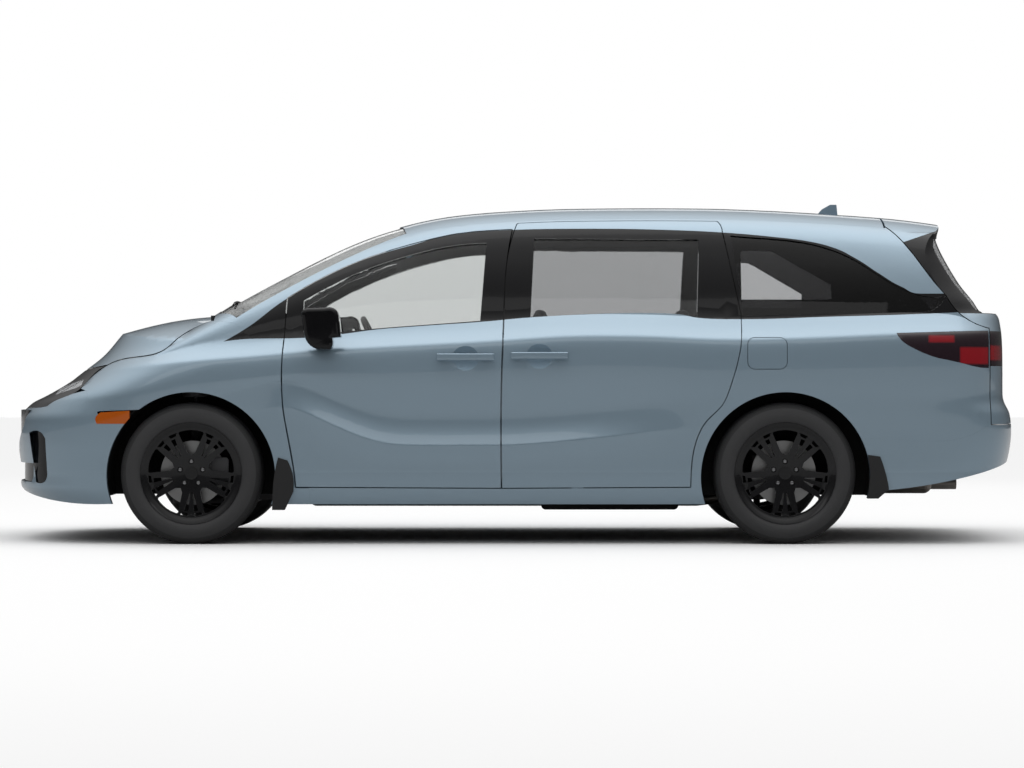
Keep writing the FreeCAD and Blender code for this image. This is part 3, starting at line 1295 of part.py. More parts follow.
def build_front_suspension():
    """Subframe with rack and lower arms, and the upper halves of both struts."""
    x = FRONT_AXLE_X
    foot = along_kingpin(x, 0)
    arm = Part.Face(Part.makePolygon([
        V(x - ARM_TIP_HALF_WIDTH, -ARM_TIP_Y, ARM_LEVEL),
        V(x + ARM_TIP_HALF_WIDTH, -ARM_TIP_Y, ARM_LEVEL),
        V(x + ARM_REAR_REACH, -ARM_ROOT_Y, ARM_LEVEL),
        V(x + ARM_REAR_REACH - ARM_ROOT_WIDTH, -ARM_INNER_Y, ARM_LEVEL),
        V(x + ARM_NOTCH_X, -ARM_NOTCH_Y, ARM_LEVEL),
        V(x - ARM_FRONT_REACH + ARM_ROOT_WIDTH, -ARM_INNER_Y, ARM_LEVEL),
        V(x - ARM_FRONT_REACH, -ARM_ROOT_Y, ARM_LEVEL),
        V(x - ARM_TIP_HALF_WIDTH, -ARM_TIP_Y, ARM_LEVEL),
    ])).extrude(V(0, 0, ARM_THICKNESS))
    cup = Part.makeCylinder(ARM_CUP_RADIUS, ARM_THICKNESS, V(foot[0], foot[1], ARM_LEVEL))
    arm = arm.fuse(cup).cut([
        Part.makeSphere(BALL_RADIUS + SEAT, V(*foot)),
        rod(foot, [x, -PIN_SLOT_Y, PIN_SLOT_LEVEL], PIN_SLOT_RADIUS)])
    mount = Part.makeCylinder(STRUT_MOUNT_RADIUS, STRUT_MOUNT_HEIGHT,
                              V(x, -KINGPIN_HEAD[0] - STRUT_MOUNT_LEAN, STRUT_MOUNT_LEVEL))
    piston = rod(along_kingpin(x, PISTON_FOOT_share), along_kingpin(x, KINGPIN_TOP_share),
                 PISTON_RADIUS)
    strut = mount.fuse(piston)
    subframe = rounded(x - SUBFRAME_FRONT, x + SUBFRAME_REAR, -SUBFRAME_HALF_WIDTH,
                       SUBFRAME_HALF_WIDTH, SUBFRAME_LOW, SUBFRAME_HIGH, SUBFRAME_ROUND,
                       V(0, 0, 1))
    horns = [
        block(x + SUBFRAME_REAR - HORN_OVERLAP, BULKHEAD_X - SEAT, y - HORN_WIDTH / 2,
              y + HORN_WIDTH / 2, HORN_LOW, SUBFRAME_HIGH)
        for y in (-HORN_Y, HORN_Y)]
    rack = rod([x + RACK_X, -RACK_HALF_LENGTH, RACK_LEVEL],
               [x + RACK_X, RACK_HALF_LENGTH, RACK_LEVEL], RACK_RADIUS)
    gearbox = block(x + RACK_X - RACK_BOX_WIDTH / 2, x + RACK_X + RACK_BOX_WIDTH / 2,
                    -RACK_BOX_HALF_LENGTH, RACK_BOX_HALF_LENGTH, RACK_BOX_LOW, RACK_BOX_HIGH)
    frame = subframe.fuse([rack, gearbox, arm, mirrored(arm)] + horns)
    return Part.makeCompound([frame, strut, mirrored(strut)])


def build_rear_suspension():
    """Twist beam with carriers, hub stubs, trailing arms, springs and dampers."""
    x = REAR_AXLE_X
    beam = rod([x - BEAM_SET_FORWARD, -BEAM_HALF_LENGTH, BEAM_LEVEL],
               [x - BEAM_SET_FORWARD, BEAM_HALF_LENGTH, BEAM_LEVEL], BEAM_RADIUS)
    carrier = rounded(x - REAR_CARRIER_HALF, x + REAR_CARRIER_HALF, -REAR_CARRIER_Y,
                      -REAR_CARRIER_Y + REAR_CARRIER_THICKNESS, REAR_CARRIER_LOW,
                      REAR_CARRIER_HIGH, REAR_CARRIER_ROUND, V(0, 1, 0))
    stub = across_cylinder(HUB_BORE_RADIUS - SEAT, x, TYRE_RADIUS,
                           -WHEEL_Y - WHEEL_OFFSET - STUB_OVERHANG, -BEAM_HALF_LENGTH)
    trailing = rod([CABIN_FLOOR_END + SEAT, -TRAILING_ARM_Y, BEAM_LEVEL],
                   [x - TRAILING_ARM_END, -TRAILING_ARM_Y, BEAM_LEVEL], TRAILING_ARM_RADIUS)
    damper = rod([x + REAR_DAMPER_X, -REAR_DAMPER_Y, REAR_DAMPER_LOW],
                 [x + REAR_DAMPER_TOP_X, -REAR_DAMPER_Y, REAR_DAMPER_HIGH],
                 TRAILING_ARM_RADIUS)
    spring = Part.makeCylinder(SPRING_RADIUS, RAISED_FLOOR_LOW - SEAT - SPRING_LOW,
                               V(x - BEAM_SET_FORWARD, -SPRING_Y, SPRING_LOW))
    half_axle = carrier.fuse([stub, trailing, damper, spring])
    return beam.fuse([half_axle, mirrored(half_axle)])


def build_liners(under_skin):
    """Linings of the four wheelhouses, with openings for the shafts and the struts."""
    liners = []
    for axle_x, inner_y in ((FRONT_AXLE_X, -FRONT_LINER_INNER), (REAR_AXLE_X, -REAR_LINER_INNER)):
        z = TYRE_RADIUS - ARCH_DROP
        ring = across_cylinder(WHEELHOUSE_RADIUS + LINER_THICKNESS, axle_x, z, -WIDTH, inner_y)
        inside = across_cylinder(WHEELHOUSE_RADIUS, axle_x, z, -WIDTH,
                                 inner_y - LINER_THICKNESS)
        window = rounded(axle_x - LINER_WINDOW_HALF, axle_x + LINER_WINDOW_HALF, -WIDTH, 0,
                         LINER_WINDOW_LOW, LINER_WINDOW_HIGH, LINER_WINDOW_ROUND, V(0, 1, 0))
        cutters = [inside, window,
                   block(-LENGTH, LENGTH, -WIDTH, 0, -WIDTH, LINER_LOW_share * HEIGHT)]
        if axle_x == FRONT_AXLE_X:
            cutters.append(Part.makeCylinder(STRUT_HOLE_RADIUS, STRUT_HOLE_HEIGHT,
                                             V(axle_x, -STRUT_HOLE_Y, STRUT_HOLE_LOW)))
        liners.append(ring.common(under_skin).cut(cutters))
    left = Part.makeCompound(liners)
    return Part.makeCompound([left, mirrored(left)])


def single_seat(x, y):
    """Seat on a foot on the floor, with its back leaning and a headrest on a post."""
    z = SEAT_LEVEL
    cushion = rounded(x - CUSHION_FRONT, x + CUSHION_REAR, y - CUSHION_WIDTH / 2,
                      y + CUSHION_WIDTH / 2, z, z + CUSHION_HEIGHT, CUSHION_ROUND)
    back = rounded(x + BACK_START, x + BACK_START + BACK_THICKNESS, y - BACK_WIDTH / 2,
                   y + BACK_WIDTH / 2, z + BACK_LOW, z + BACK_LOW + BACK_HEIGHT, CUSHION_ROUND)
    back.rotate(V(x + BACK_PIVOT, y, z + BACK_LOW), V(0, 1, 0), BACK_LEAN)
    head = rounded(x + HEADREST_START, x + HEADREST_START + HEADREST_THICKNESS,
                   y - HEADREST_WIDTH / 2, y + HEADREST_WIDTH / 2, z + HEADREST_LOW,
                   z + HEADREST_LOW + HEADREST_HEIGHT, HEADREST_ROUND)
    post = rod([x + POST_FOOT[0], y, z + POST_FOOT[1]], [x + POST_HEAD[0], y, z + POST_HEAD[1]],
               POST_RADIUS)
    foot = block(x - SEAT_FOOT_HALF_LENGTH, x + SEAT_FOOT_HALF_LENGTH, y - SEAT_FOOT_WIDTH / 2,
                 y + SEAT_FOOT_WIDTH / 2, FLOOR_LEVEL + FLOOR_THICKNESS + SEAT,
                 z + SEAT_FOOT_OVERLAP)
    return cushion.fuse([back, head, post, foot])


def build_bench():
    """Rear bench on the raised floor, with three headrests."""
    floor = RAISED_FLOOR_LOW + RAISED_FLOOR_THICKNESS + SEAT
    cushion = rounded(*BENCH_X, -BENCH_HALF_WIDTH, BENCH_HALF_WIDTH, floor, BENCH_HIGH,
                      CUSHION_ROUND)
    back = rounded(*BENCH_BACK_X, -BENCH_HALF_WIDTH, BENCH_HALF_WIDTH, *BENCH_BACK_Z,
                   CUSHION_ROUND)
    pivot = V(sum(BENCH_BACK_X) / 2, 0, BENCH_BACK_Z[0])
    back.rotate(pivot, V(0, 1, 0), BENCH_BACK_LEAN)
    parts = [back]
    for y in (-BENCH_REST_SPACING, 0, BENCH_REST_SPACING):
        parts.append(rounded(*BENCH_REST_X, y - BENCH_REST_WIDTH / 2, y + BENCH_REST_WIDTH / 2,
                             *BENCH_REST_Z, BENCH_REST_ROUND))
        parts.append(rod([BENCH_POST_FOOT[0], y, BENCH_POST_FOOT[1]],
                         [BENCH_POST_HEAD[0], y, BENCH_POST_HEAD[1]], POST_RADIUS))
    return cushion.fuse(parts)


def build_dashboard_and_wheel():
    """Dashboard with its console and column bore, and the steering wheel on its column."""
    back = BULKHEAD_X + BULKHEAD_THICKNESS + SEAT
    section = [(back, DASH_LOW), DASH_KNEE, DASH_LIP, (DASH_TOP_X, DASH_HIGH),
               (back, DASH_HIGH), (back, DASH_LOW)]
    dash = Part.Face(Part.makePolygon([V(x, -DASH_HALF_WIDTH, z) for x, z in section]))
    dash = dash.extrude(V(0, 2 * DASH_HALF_WIDTH, 0))
    console = rounded(*CONSOLE_X, -CONSOLE_HALF_WIDTH, CONSOLE_HALF_WIDTH,
                      FLOOR_LEVEL + FLOOR_THICKNESS + SEAT, CONSOLE_HIGH, CONSOLE_ROUND)
    ring = Part.makeTorus(WHEEL_RING_RADIUS, WHEEL_GRIP_RADIUS, V(0, 0, 0), V(0, 0, 1))
    hub = Part.makeCylinder(WHEEL_HUB_RADIUS, WHEEL_HUB_DEPTH, V(0, 0, -WHEEL_HUB_DROP))
    spokes = []
    for turn in WHEEL_SPOKE_TURNS:
        tip = V(WHEEL_RING_RADIUS, 0, 0)
        tip = FreeCAD.Rotation(V(0, 0, 1), turn).multVec(tip)
        spokes.append(rod([0, 0, -WHEEL_SPOKE_DROP], list(tip), WHEEL_SPOKE_RADIUS))
    column = Part.makeCylinder(COLUMN_RADIUS, COLUMN_LENGTH, V(0, 0, -COLUMN_DROP))
    bore = Part.makeCylinder(COLUMN_RADIUS + SEAT, COLUMN_DROP + COLUMN_LENGTH,
                             V(0, 0, -COLUMN_DROP - COLUMN_END_GAP))
    wheel = ring.fuse([hub, column] + spokes)
    for shape in (wheel, bore):
        shape.rotate(V(0, 0, 0), V(0, 1, 0), WHEEL_TILT)
        shape.translate(V(WHEEL_PLACE[0], -SINGLE_SEAT_Y, WHEEL_PLACE[1]))
    return dash.cut(bore).fuse(console), wheel


def build_floor():
    """Cabin floor, raised rear floor over the axle and the luggage well behind it."""
    fit = lower_body(BODY_WALL + SEAT)
    floor_top = FLOOR_LEVEL + FLOOR_THICKNESS
    raised_top = RAISED_FLOOR_LOW + RAISED_FLOOR_THICKNESS
    half = RAISED_FLOOR_HALF_WIDTH
    floor = block(-FLOOR_FRONT, CABIN_FLOOR_END, -FLOOR_HALF_WIDTH, FLOOR_HALF_WIDTH,
                  FLOOR_LEVEL, floor_top)
    raised = block(CABIN_FLOOR_END - PANEL_OVERLAP, RAISED_FLOOR_END, -half, half,
                   RAISED_FLOOR_LOW, raised_top)
    riser = block(CABIN_FLOOR_END - PANEL_OVERLAP, CABIN_FLOOR_END, -half, half,
                  floor_top - WEB_OVERLAP, raised_top)
    well = block(RAISED_FLOOR_END - PANEL_OVERLAP, WELL_END, -FLOOR_HALF_WIDTH,
                 FLOOR_HALF_WIDTH, WELL_LEVEL, WELL_LEVEL + RAISED_FLOOR_THICKNESS)
    riser_back = block(RAISED_FLOOR_END - PANEL_OVERLAP, RAISED_FLOOR_END, -half, half,
                       WELL_LEVEL + WEB_OVERLAP, raised_top)
    return floor.common(fit).fuse([raised, riser, well.common(fit), riser_back])


def build_front_structure(under_skin):
    """Bulkhead with its tray, and the rails, plates, posts and beams in front of it."""
    wall_x = BULKHEAD_X + BULKHEAD_THICKNESS
    wall = block(BULKHEAD_X, wall_x, -BULKHEAD_HALF_WIDTH, BULKHEAD_HALF_WIDTH, BULKHEAD_LOW,
                 BULKHEAD_HIGH)
    foot = block(BULKHEAD_X, -FLOOR_FRONT - SEAT, -BULKHEAD_FOOT_HALF_WIDTH,
                 BULKHEAD_FOOT_HALF_WIDTH, BULKHEAD_LOW, BULKHEAD_LOW + BULKHEAD_THICKNESS)
    tray = block(-TRAY_FRONT, wall_x, -TRAY_HALF_WIDTH, TRAY_HALF_WIDTH,
                 BULKHEAD_HIGH - TRAY_THICKNESS, BULKHEAD_HIGH)
    nose_fit = lower_body(LAMP_DEPTH + SEAT)
    beam_back = CROSSBEAM_X + CROSSBEAM_DEPTH
    plate_low = STRUT_MOUNT_LEVEL + STRUT_MOUNT_HEIGHT + SEAT
    plate_x = FRONT_AXLE_X - STRUT_PLATE_FRONT
    left = [
        block(RAIL_START, wall_x, RAIL_Y, RAIL_Y + RAIL_WIDTH, RAIL_LOW, RAIL_HIGH),
        block(plate_x, plate_x + 2 * STRUT_PLATE_FRONT, STRUT_PLATE_Y,
              STRUT_PLATE_Y + STRUT_PLATE_WIDTH, plate_low, plate_low + STRUT_PLATE_THICKNESS),
        block(STRUT_BRACE_X, wall_x, STRUT_BRACE_Y, STRUT_BRACE_Y + STRUT_BRACE_WIDTH,
              plate_low, plate_low + STRUT_BRACE_HEIGHT),
        block(RAIL_START, beam_back, FRONT_POST_Y, FRONT_POST_Y + FRONT_POST_WIDTH,
              FRONT_POST_LOW, FRONT_POST_HIGH),
        block(BONNET_POST_X, BONNET_POST_X + BONNET_POST_DEPTH, BONNET_POST_Y,
              BONNET_POST_Y + FRONT_POST_WIDTH, BONNET_POST_LOW, HEIGHT).common(under_skin),
    ]
    beam_end = RAIL_Y + RAIL_WIDTH
    crossbeam = block(CROSSBEAM_X, beam_back, -beam_end, beam_end, RAIL_LOW, RAIL_HIGH)
    bumper_beam = block(BUMPER_BEAM_X, BUMPER_BEAM_REAR, -BUMPER_BEAM_HALF_WIDTH,
                        BUMPER_BEAM_HALF_WIDTH, BUMPER_BEAM_LOW, BUMPER_BEAM_HIGH)
    carrier = block(BUMPER_BEAM_X, beam_back, -LAMP_CARRIER_HALF_WIDTH,
                    LAMP_CARRIER_HALF_WIDTH, LAMP_CARRIER_LOW, LAMP_CARRIER_HIGH)
    parts = [foot, tray, crossbeam, bumper_beam.common(under_skin), carrier.common(nose_fit)]
    return wall.fuse(parts + left + [mirrored(part) for part in left])


def build_exhaust():
    """Pipe, muffler and tailpipe, hung from the floor on two hangers."""
    start, bend = V(PIPE_START, PIPE_Y, PIPE_LEVEL), V(PIPE_BEND, PIPE_Y, PIPE_LEVEL)
    hanger_y = PIPE_Y - HANGER_WIDTH / 2
    hanger = block(PIPE_HANGER_X, PIPE_HANGER_X + HANGER_LENGTH, hanger_y,
                   hanger_y + HANGER_WIDTH, PIPE_LEVEL, FLOOR_LEVEL - SEAT)
    muffler = rounded(*MUFFLER_X, *MUFFLER_Y, *MUFFLER_Z, MUFFLER_ROUND)
    tailpipe = rod([MUFFLER_X[1], TAILPIPE_Y, TAILPIPE_LEVEL],
                   [TAILPIPE_END, TAILPIPE_Y, TAILPIPE_LEVEL], TAILPIPE_RADIUS)
    rear_hanger = block(MUFFLER_HANGER_X, MUFFLER_HANGER_X + HANGER_WIDTH, MUFFLER_HANGER_Y,
                        MUFFLER_HANGER_Y + HANGER_LENGTH, MUFFLER_HANGER_LOW,
                        WELL_LEVEL - SEAT)
    return rod(list(start), list(bend), PIPE_RADIUS).fuse([
        Part.makeSphere(PIPE_RADIUS, start), Part.makeSphere(PIPE_RADIUS, bend), hanger,
        rod(list(bend), PIPE_END, PIPE_RADIUS), muffler, tailpipe, rear_hanger])


def build_mirror(over_body):
    """Left door mirror: a rounded head on an arm that reaches the door."""
    head = Part.Face(loop(MIRROR_shares, -MIRROR_INNER_share * HALF_WIDTH))
    head = head.extrude(V(0, (MIRROR_INNER_share - MIRROR_OUTER_share) * HALF_WIDTH, 0))
    outer = -MIRROR_OUTER_share * HALF_WIDTH + MIRROR_ROUND / 2
    head = head.makeFillet(MIRROR_ROUND, [e for e in head.Edges if e.BoundBox.YMax < outer])
    x0, x1 = (share * LENGTH for share in MIRROR_ARM_X_shares)
    y0, y1 = (share * HALF_WIDTH for share in MIRROR_ARM_Y_shares)
    z0, z1 = (share * HEIGHT for share in MIRROR_ARM_LEVELS_shares)
    arm = rounded(x0, x1, y0, y1, z0, z1, MIRROR_ROUND)
    return head.fuse(arm).cut(over_body).cut(greenhouse(-SEAT))


def build_handle(x_share, z_share, over_body):
    """Finger cup and handle of a left door: a bar that stands off it on two feet."""
    x, z = x_share * LENGTH, z_share * HEIGHT
    surface = side_wall_y(x, z)
    cup = Part.makeSphere(CUP_BALL_RADIUS, V(x, surface - CUP_BALL_RADIUS + CUP_DEPTH, z))
    outer = surface - HANDLE_STANDOFF
    start, end = x - HANDLE_LENGTH / 2, x + HANDLE_LENGTH / 2
    bar = rounded(start, end, outer, outer + HANDLE_THICKNESS, z - HANDLE_HEIGHT / 2,
                  z + HANDLE_HEIGHT / 2, HANDLE_THICKNESS * HANDLE_ROUND_share)
    half = HANDLE_HEIGHT * HANDLE_FOOT_HEIGHT_share / 2
    feet = [
        block(a, a + HANDLE_FOOT, outer + HANDLE_THICKNESS / 2, surface + SKIN, z - half,
              z + half)
        for a in (start + HANDLE_THICKNESS, end - HANDLE_THICKNESS - HANDLE_FOOT)]
    return cup, bar.fuse(feet).cut(over_body)


def build_hinge(level_share):
    """Pocket in the door edge, and the body's arm with its pin, at one hinge's level."""
    z = level_share * HEIGHT
    half_arm, half_height = HINGE_ARM_WIDTH / 2, HINGE_ARM_HEIGHT / 2
    knuckle = half_arm + HINGE_SIDE_SLACK
    pocket = block(HINGE_X - HINGE_POCKET_LENGTH, HINGE_X + knuckle,
                   -HINGE_Y - knuckle, -HINGE_Y + HINGE_POCKET_DEPTH,
                   z - half_height - HINGE_SLACK, z + half_height + HINGE_SLACK)
    pin_low, bore_low = z - HINGE_PIN_LENGTH / 2, z - HINGE_PIN_LENGTH / 2 - HINGE_SLACK
    pin = Part.makeCylinder(HINGE_PIN_RADIUS, HINGE_PIN_LENGTH, V(HINGE_X, -HINGE_Y, pin_low))
    bore = Part.makeCylinder(HINGE_PIN_RADIUS + SEAT, HINGE_PIN_LENGTH + 2 * HINGE_SLACK,
                             V(HINGE_X, -HINGE_Y, bore_low))
    arm = block(HINGE_X - half_arm, HINGE_X + half_arm, -HINGE_Y, -HINGE_Y + HINGE_ARM_LENGTH,
                z - half_height, z + half_height)
    barrel = Part.makeCylinder(half_arm, HINGE_ARM_HEIGHT, V(HINGE_X, -HINGE_Y, z - half_height))
    return [pocket, bore], arm.fuse([barrel, pin])


def keep(name, shape):
    shape = solids(shape)
    if not shape.Solids:
        raise RuntimeError(name + " came out empty")
    save(name, shape if len(shape.Solids) > 1 else shape.Solids[0])
    return shape


def keep_pair(name, left):
    left = keep(name + "_left", left)
    return left, keep(name + "_right", mirrored(left))


def keep_both(name, left):
    """Left and right pieces kept together in one file."""
    return keep(name, left.fuse(mirrored(left)))


if __name__ == "__main__":
    os.makedirs("parts", exist_ok=True)

    # Whole outside, the skins inside it, and the cutters that several pieces share
    whole = lower_body(0).fuse(greenhouse(0))
    arches = [arch(FRONT_AXLE_X), arch(REAR_AXLE_X)]
    body = whole.cut([side_prism(UNDERSIDE_shares, -WIDTH, WIDTH)] + arches)
    inner_skin = inner_solid(SKIN, SKIN)
    inner_door = inner_solid(DOOR_WALL, DOOR_FRAME)
    inner_flange = inner_solid(DOOR_WALL + SEAL_SPACE, DOOR_FRAME + SEAL_SPACE)
    inner_lamp = inner_solid(LAMP_DEPTH, LAMP_DEPTH)
    over_body = lower_body(-SEAT)
    under_skin = lower_body(SKIN + SEAT)
    glass_layer = greenhouse(GLASS_SET_BACK).cut(greenhouse(GLASS_SET_BACK + GLASS_THICKNESS))
    high = HEIGHT + OVERRUN
    near = CUT_NEAR_share * WIDTH
    far = -(ROOF_EDGE_share + CUT_MARGIN_share) * HALF_WIDTH
    near_edge, far_edge = near - PANEL_GAP, far + PANEL_GAP
    deep, middle_far = CUT_DEEP_share * WIDTH, CUT_MIDDLE_share * WIDTH
    door_gap = side_prism(FRONT_DOOR_shares, near_edge, far_edge, PANEL_GAP)
    sliding_gap = side_prism(SLIDING_DOOR_shares, near_edge, far_edge, PANEL_GAP)
    tailgate_gap = side_prism(TAILGATE_shares, -WIDTH, WIDTH, PANEL_GAP)
    screen_plan = Part.Face(plan_wire(WINDSHIELD_PLAN_shares, WINDSHIELD_LOW_share * HEIGHT))
    screen_gap = Part.Face(grown(screen_plan.OuterWire, SEAT)).extrude(V(0, 0, HEIGHT))

    # Front doors, their handles and glass
    hinge_pockets, hinge_arms = [], []
    for level_share in HINGE_LEVELS_shares:
        pockets, arm = build_hinge(level_share)
        hinge_pockets += pockets
        hinge_arms.append(arm)
    (front_cup, front_handle), (rear_cup, rear_handle) = (
        build_handle(*centre, over_body) for centre in HANDLE_CENTRE_shares)
    door = body.common(side_prism(FRONT_DOOR_shares, near, far)).cut(sliding_gap)
    door = door.cut(inner_door).cut(side_prism(FRONT_GLASS_shares, near, far))
    keep_pair("door_front", door.cut(hinge_pockets).cut(front_cup))
    keep_pair("door_handle", front_handle)
    pane = side_prism(FRONT_GLASS_shares, near, far, -GLASS_CLEARANCE)
    keep_pair("door_front_glass", glass_layer.common(pane))

    # Sliding doors, their handles and glass
    door = body.common(side_prism(SLIDING_DOOR_shares, near, far)).cut(inner_door)
    door = door.cut(side_prism(SLIDING_GLASS_shares, near, far)).cut(rear_cup)
    keep_pair("sliding_door", door)
    keep_both("sliding_handles", rear_handle)
    pane = side_prism(SLIDING_GLASS_shares, near, far, -GLASS_CLEARANCE)
    keep_both("sliding_door_glass", glass_layer.common(pane))

    # Windscreen, roof panel and fin
    screen = glass_layer.common(screen_plan.extrude(V(0, 0, HEIGHT)))
    keep("windshield", screen.cut(side_prism(BONNET_shares, -WIDTH, WIDTH)))
    roof_half = ROOF_EDGE_share * HALF_WIDTH
    roof_low, roof_rear = ROOF_LOW_share * HEIGHT, ROOF_REAR_share * LENGTH
    roof = block(ROOF_FRONT_share * LENGTH, roof_rear, -roof_half, roof_half, roof_low, high)
    keep("roof_panel", body.common(roof).cut([inner_skin, screen_gap]))
    outline = [V(x * LENGTH, -FIN_THICKNESS / 2, z * HEIGHT) for x, z in FIN_shares]
    fin = Part.Face(Part.makePolygon(outline + [outline[0]])).extrude(V(0, FIN_THICKNESS, 0))
    keep("roof_fin", fin.cut(greenhouse(-SEAT)))

    # Mud flaps
    flaps = []
    for outline in (FRONT_FLAP_shares, REAR_FLAP_shares):
        flaps.append(side_prism(outline, -FLAP_OUTER_share * HALF_WIDTH,
                                -FLAP_INNER_share * HALF_WIDTH).cut(over_body))
    keep("mud_flaps", Part.makeCompound(flaps + [mirrored(flap) for flap in flaps]))

    # Tailgate with its rear window, plate pad, lamps and spoiler
    outline = [V(REAR_GLASS_START_share * LENGTH, y * HALF_WIDTH, z * HEIGHT)
               for y, z in REAR_GLASS_shares]
    outline += [V(p.x, -p.y, p.z) for p in reversed(outline[1:-1])]
    rear_window = Part.Face(Part.makePolygon(outline + [outline[0]])).extrude(
        V(REAR_GLASS_DEPTH_share * LENGTH, 0, 0))
    gate = body.common(side_prism(TAILGATE_shares, -WIDTH, WIDTH))
    gate = gate.cut(inner_solid(TAILGATE_WALL, TAILGATE_WALL)).cut(rear_window)
    pad_face = PLATE_PAD_X + PLATE_PAD_DEPTH
    pad = rounded(PLATE_PAD_X, pad_face, -PLATE_PAD_LENGTH / 2, PLATE_PAD_LENGTH / 2,
                  PLATE_PAD_LEVEL - PLATE_PAD_HEIGHT / 2, PLATE_PAD_LEVEL + PLATE_PAD_HEIGHT / 2,
                  PLATE_PAD_ROUND, V(1, 0, 0))
    bolts = [
        Part.makeCylinder(PLATE_BOLT_RADIUS, PLATE_BOLT_DEPTH,
                          V(pad_face, side * PLATE_BOLT_SPACING / 2, PLATE_PAD_LEVEL),
                          V(-1, 0, 0))
        for side in (-1, 1)]
    lamp_edge = -GATE_LAMP_SIDE_share * HALF_WIDTH
    lamp_low, lamp_high = (share * HEIGHT for share in GATE_LAMP_LEVELS_shares)
    gate_edge = TAILGATE_EDGE_share * LENGTH
    lamp = block(gate_edge, LENGTH, -WIDTH, lamp_edge, lamp_low, lamp_high)
    lamp_cut = block(0, LENGTH, -WIDTH, lamp_edge + SEAT, lamp_low - SEAT, lamp_high + SEAT)
    lamp_cut = lamp_cut.cut(under_skin)
    keep_both("gate_lamps", body.common(lamp).cut(inner_skin))
    gate = gate.fuse(pad).cut(bolts).cut([lamp_cut, mirrored(lamp_cut)])
    split = block(0, LENGTH, -WIDTH, WIDTH, SPOILER_BOTTOM_share * HEIGHT, high)
    keep("tailgate", gate.cut(split))
    keep("spoiler", gate.common(split))
    keep("tailgate_glass", glass_layer.common(rear_window))

    # Tail lamps and rear bumper
    lamp = body.common(side_prism(TAIL_LAMP_shares, near, far))
    keep_both("tail_lamps", lamp.cut([tailgate_gap, inner_lamp]))
    bumper = body.common(side_prism(BUMPER_REAR_shares, -WIDTH, WIDTH))
    keep("rear_bumper", bumper.cut([tailgate_gap, inner_skin]))

    # Fenders and bonnet
    fender_seat = side_prism(FENDER_shares, near_edge, deep + PANEL_GAP, SEAT)
    fender_seats = [fender_seat, mirrored(fender_seat)]
    fender = body.common(side_prism(FENDER_shares, near, deep))
    fender = fender.cut(side_prism(FRONT_DOOR_shares, near_edge, far_edge, FENDER_DOOR_GAP))
    keep_pair("fender", fender.cut(inner_skin).cut(screen_gap))
    rear_line = [V(x * LENGTH, y * HALF_WIDTH, BONNET_CUT_LOW_share * HEIGHT)
                 for x, y in BONNET_REAR_shares]
    curve = Part.BSplineCurve()
    curve.interpolate([V(p.x, -p.y, p.z) for p in reversed(rear_line[1:])] + rear_line)
    corner = rear_line[-1]
    right, left = V(0, corner.y, corner.z), V(0, -corner.y, corner.z)
    behind = Part.Face(Part.Wire([
        curve.toShape(),
        Part.LineSegment(corner, right).toShape(),
        Part.LineSegment(right, left).toShape(),
        Part.LineSegment(left, V(corner.x, -corner.y, corner.z)).toShape(),
    ])).extrude(V(0, 0, HEIGHT))
    bonnet = lower_body(0).cut(arches).common(side_prism(BONNET_shares, -WIDTH, WIDTH))
    keep("bonnet", bonnet.cut([inner_skin, behind]))

    # Headlamps with their markers, and the grille between them
    lamps = body.common(side_prism(HEADLAMP_shares, -WIDTH, WIDTH)).cut(inner_lamp)
    lamps = lamps.cut(fender_seats[0]).cut(fender_seats[1])
    half = GRILLE_HALF_share * HALF_WIDTH
    middle = block(-LENGTH, 0, -half, half, 0, HEIGHT)
    middle_gap = block(-LENGTH, 0, -half - SEAT, half + SEAT, 0, HEIGHT)
    marker = body.common(side_prism(MARKER_shares, near, far)).cut(inner_skin).cut(fender_seat)
    keep("front_lamps", lamps.cut(middle_gap).fuse([marker, mirrored(marker)]))
    keep("grille", lamps.common(middle))

    # Front bumper, and the inserts in its intakes
    bumper = body.common(side_prism(BUMPER_FRONT_shares, -WIDTH, WIDTH)).cut(inner_skin)
    seats = fender_seats + [side_prism(HEADLAMP_shares, -WIDTH, WIDTH, SEAT),
                            side_prism(MARKER_shares, -WIDTH, WIDTH, SEAT)]
    for seat in seats + front_openings(near, deep, 0):
        bumper = bumper.cut(seat)
    keep("front_bumper", bumper)
    inserts = [
        nose_layer(level, INSERT_SET_BACK, INSERT_THICKNESS).common(opening)
        for level, opening in zip(INSERT_LEVELS_shares, front_openings(near, deep, -SEAT))]
    inserts[0] = inserts[0].cut(grille_gaps())
    keep("front_inserts", Part.makeCompound(inserts))

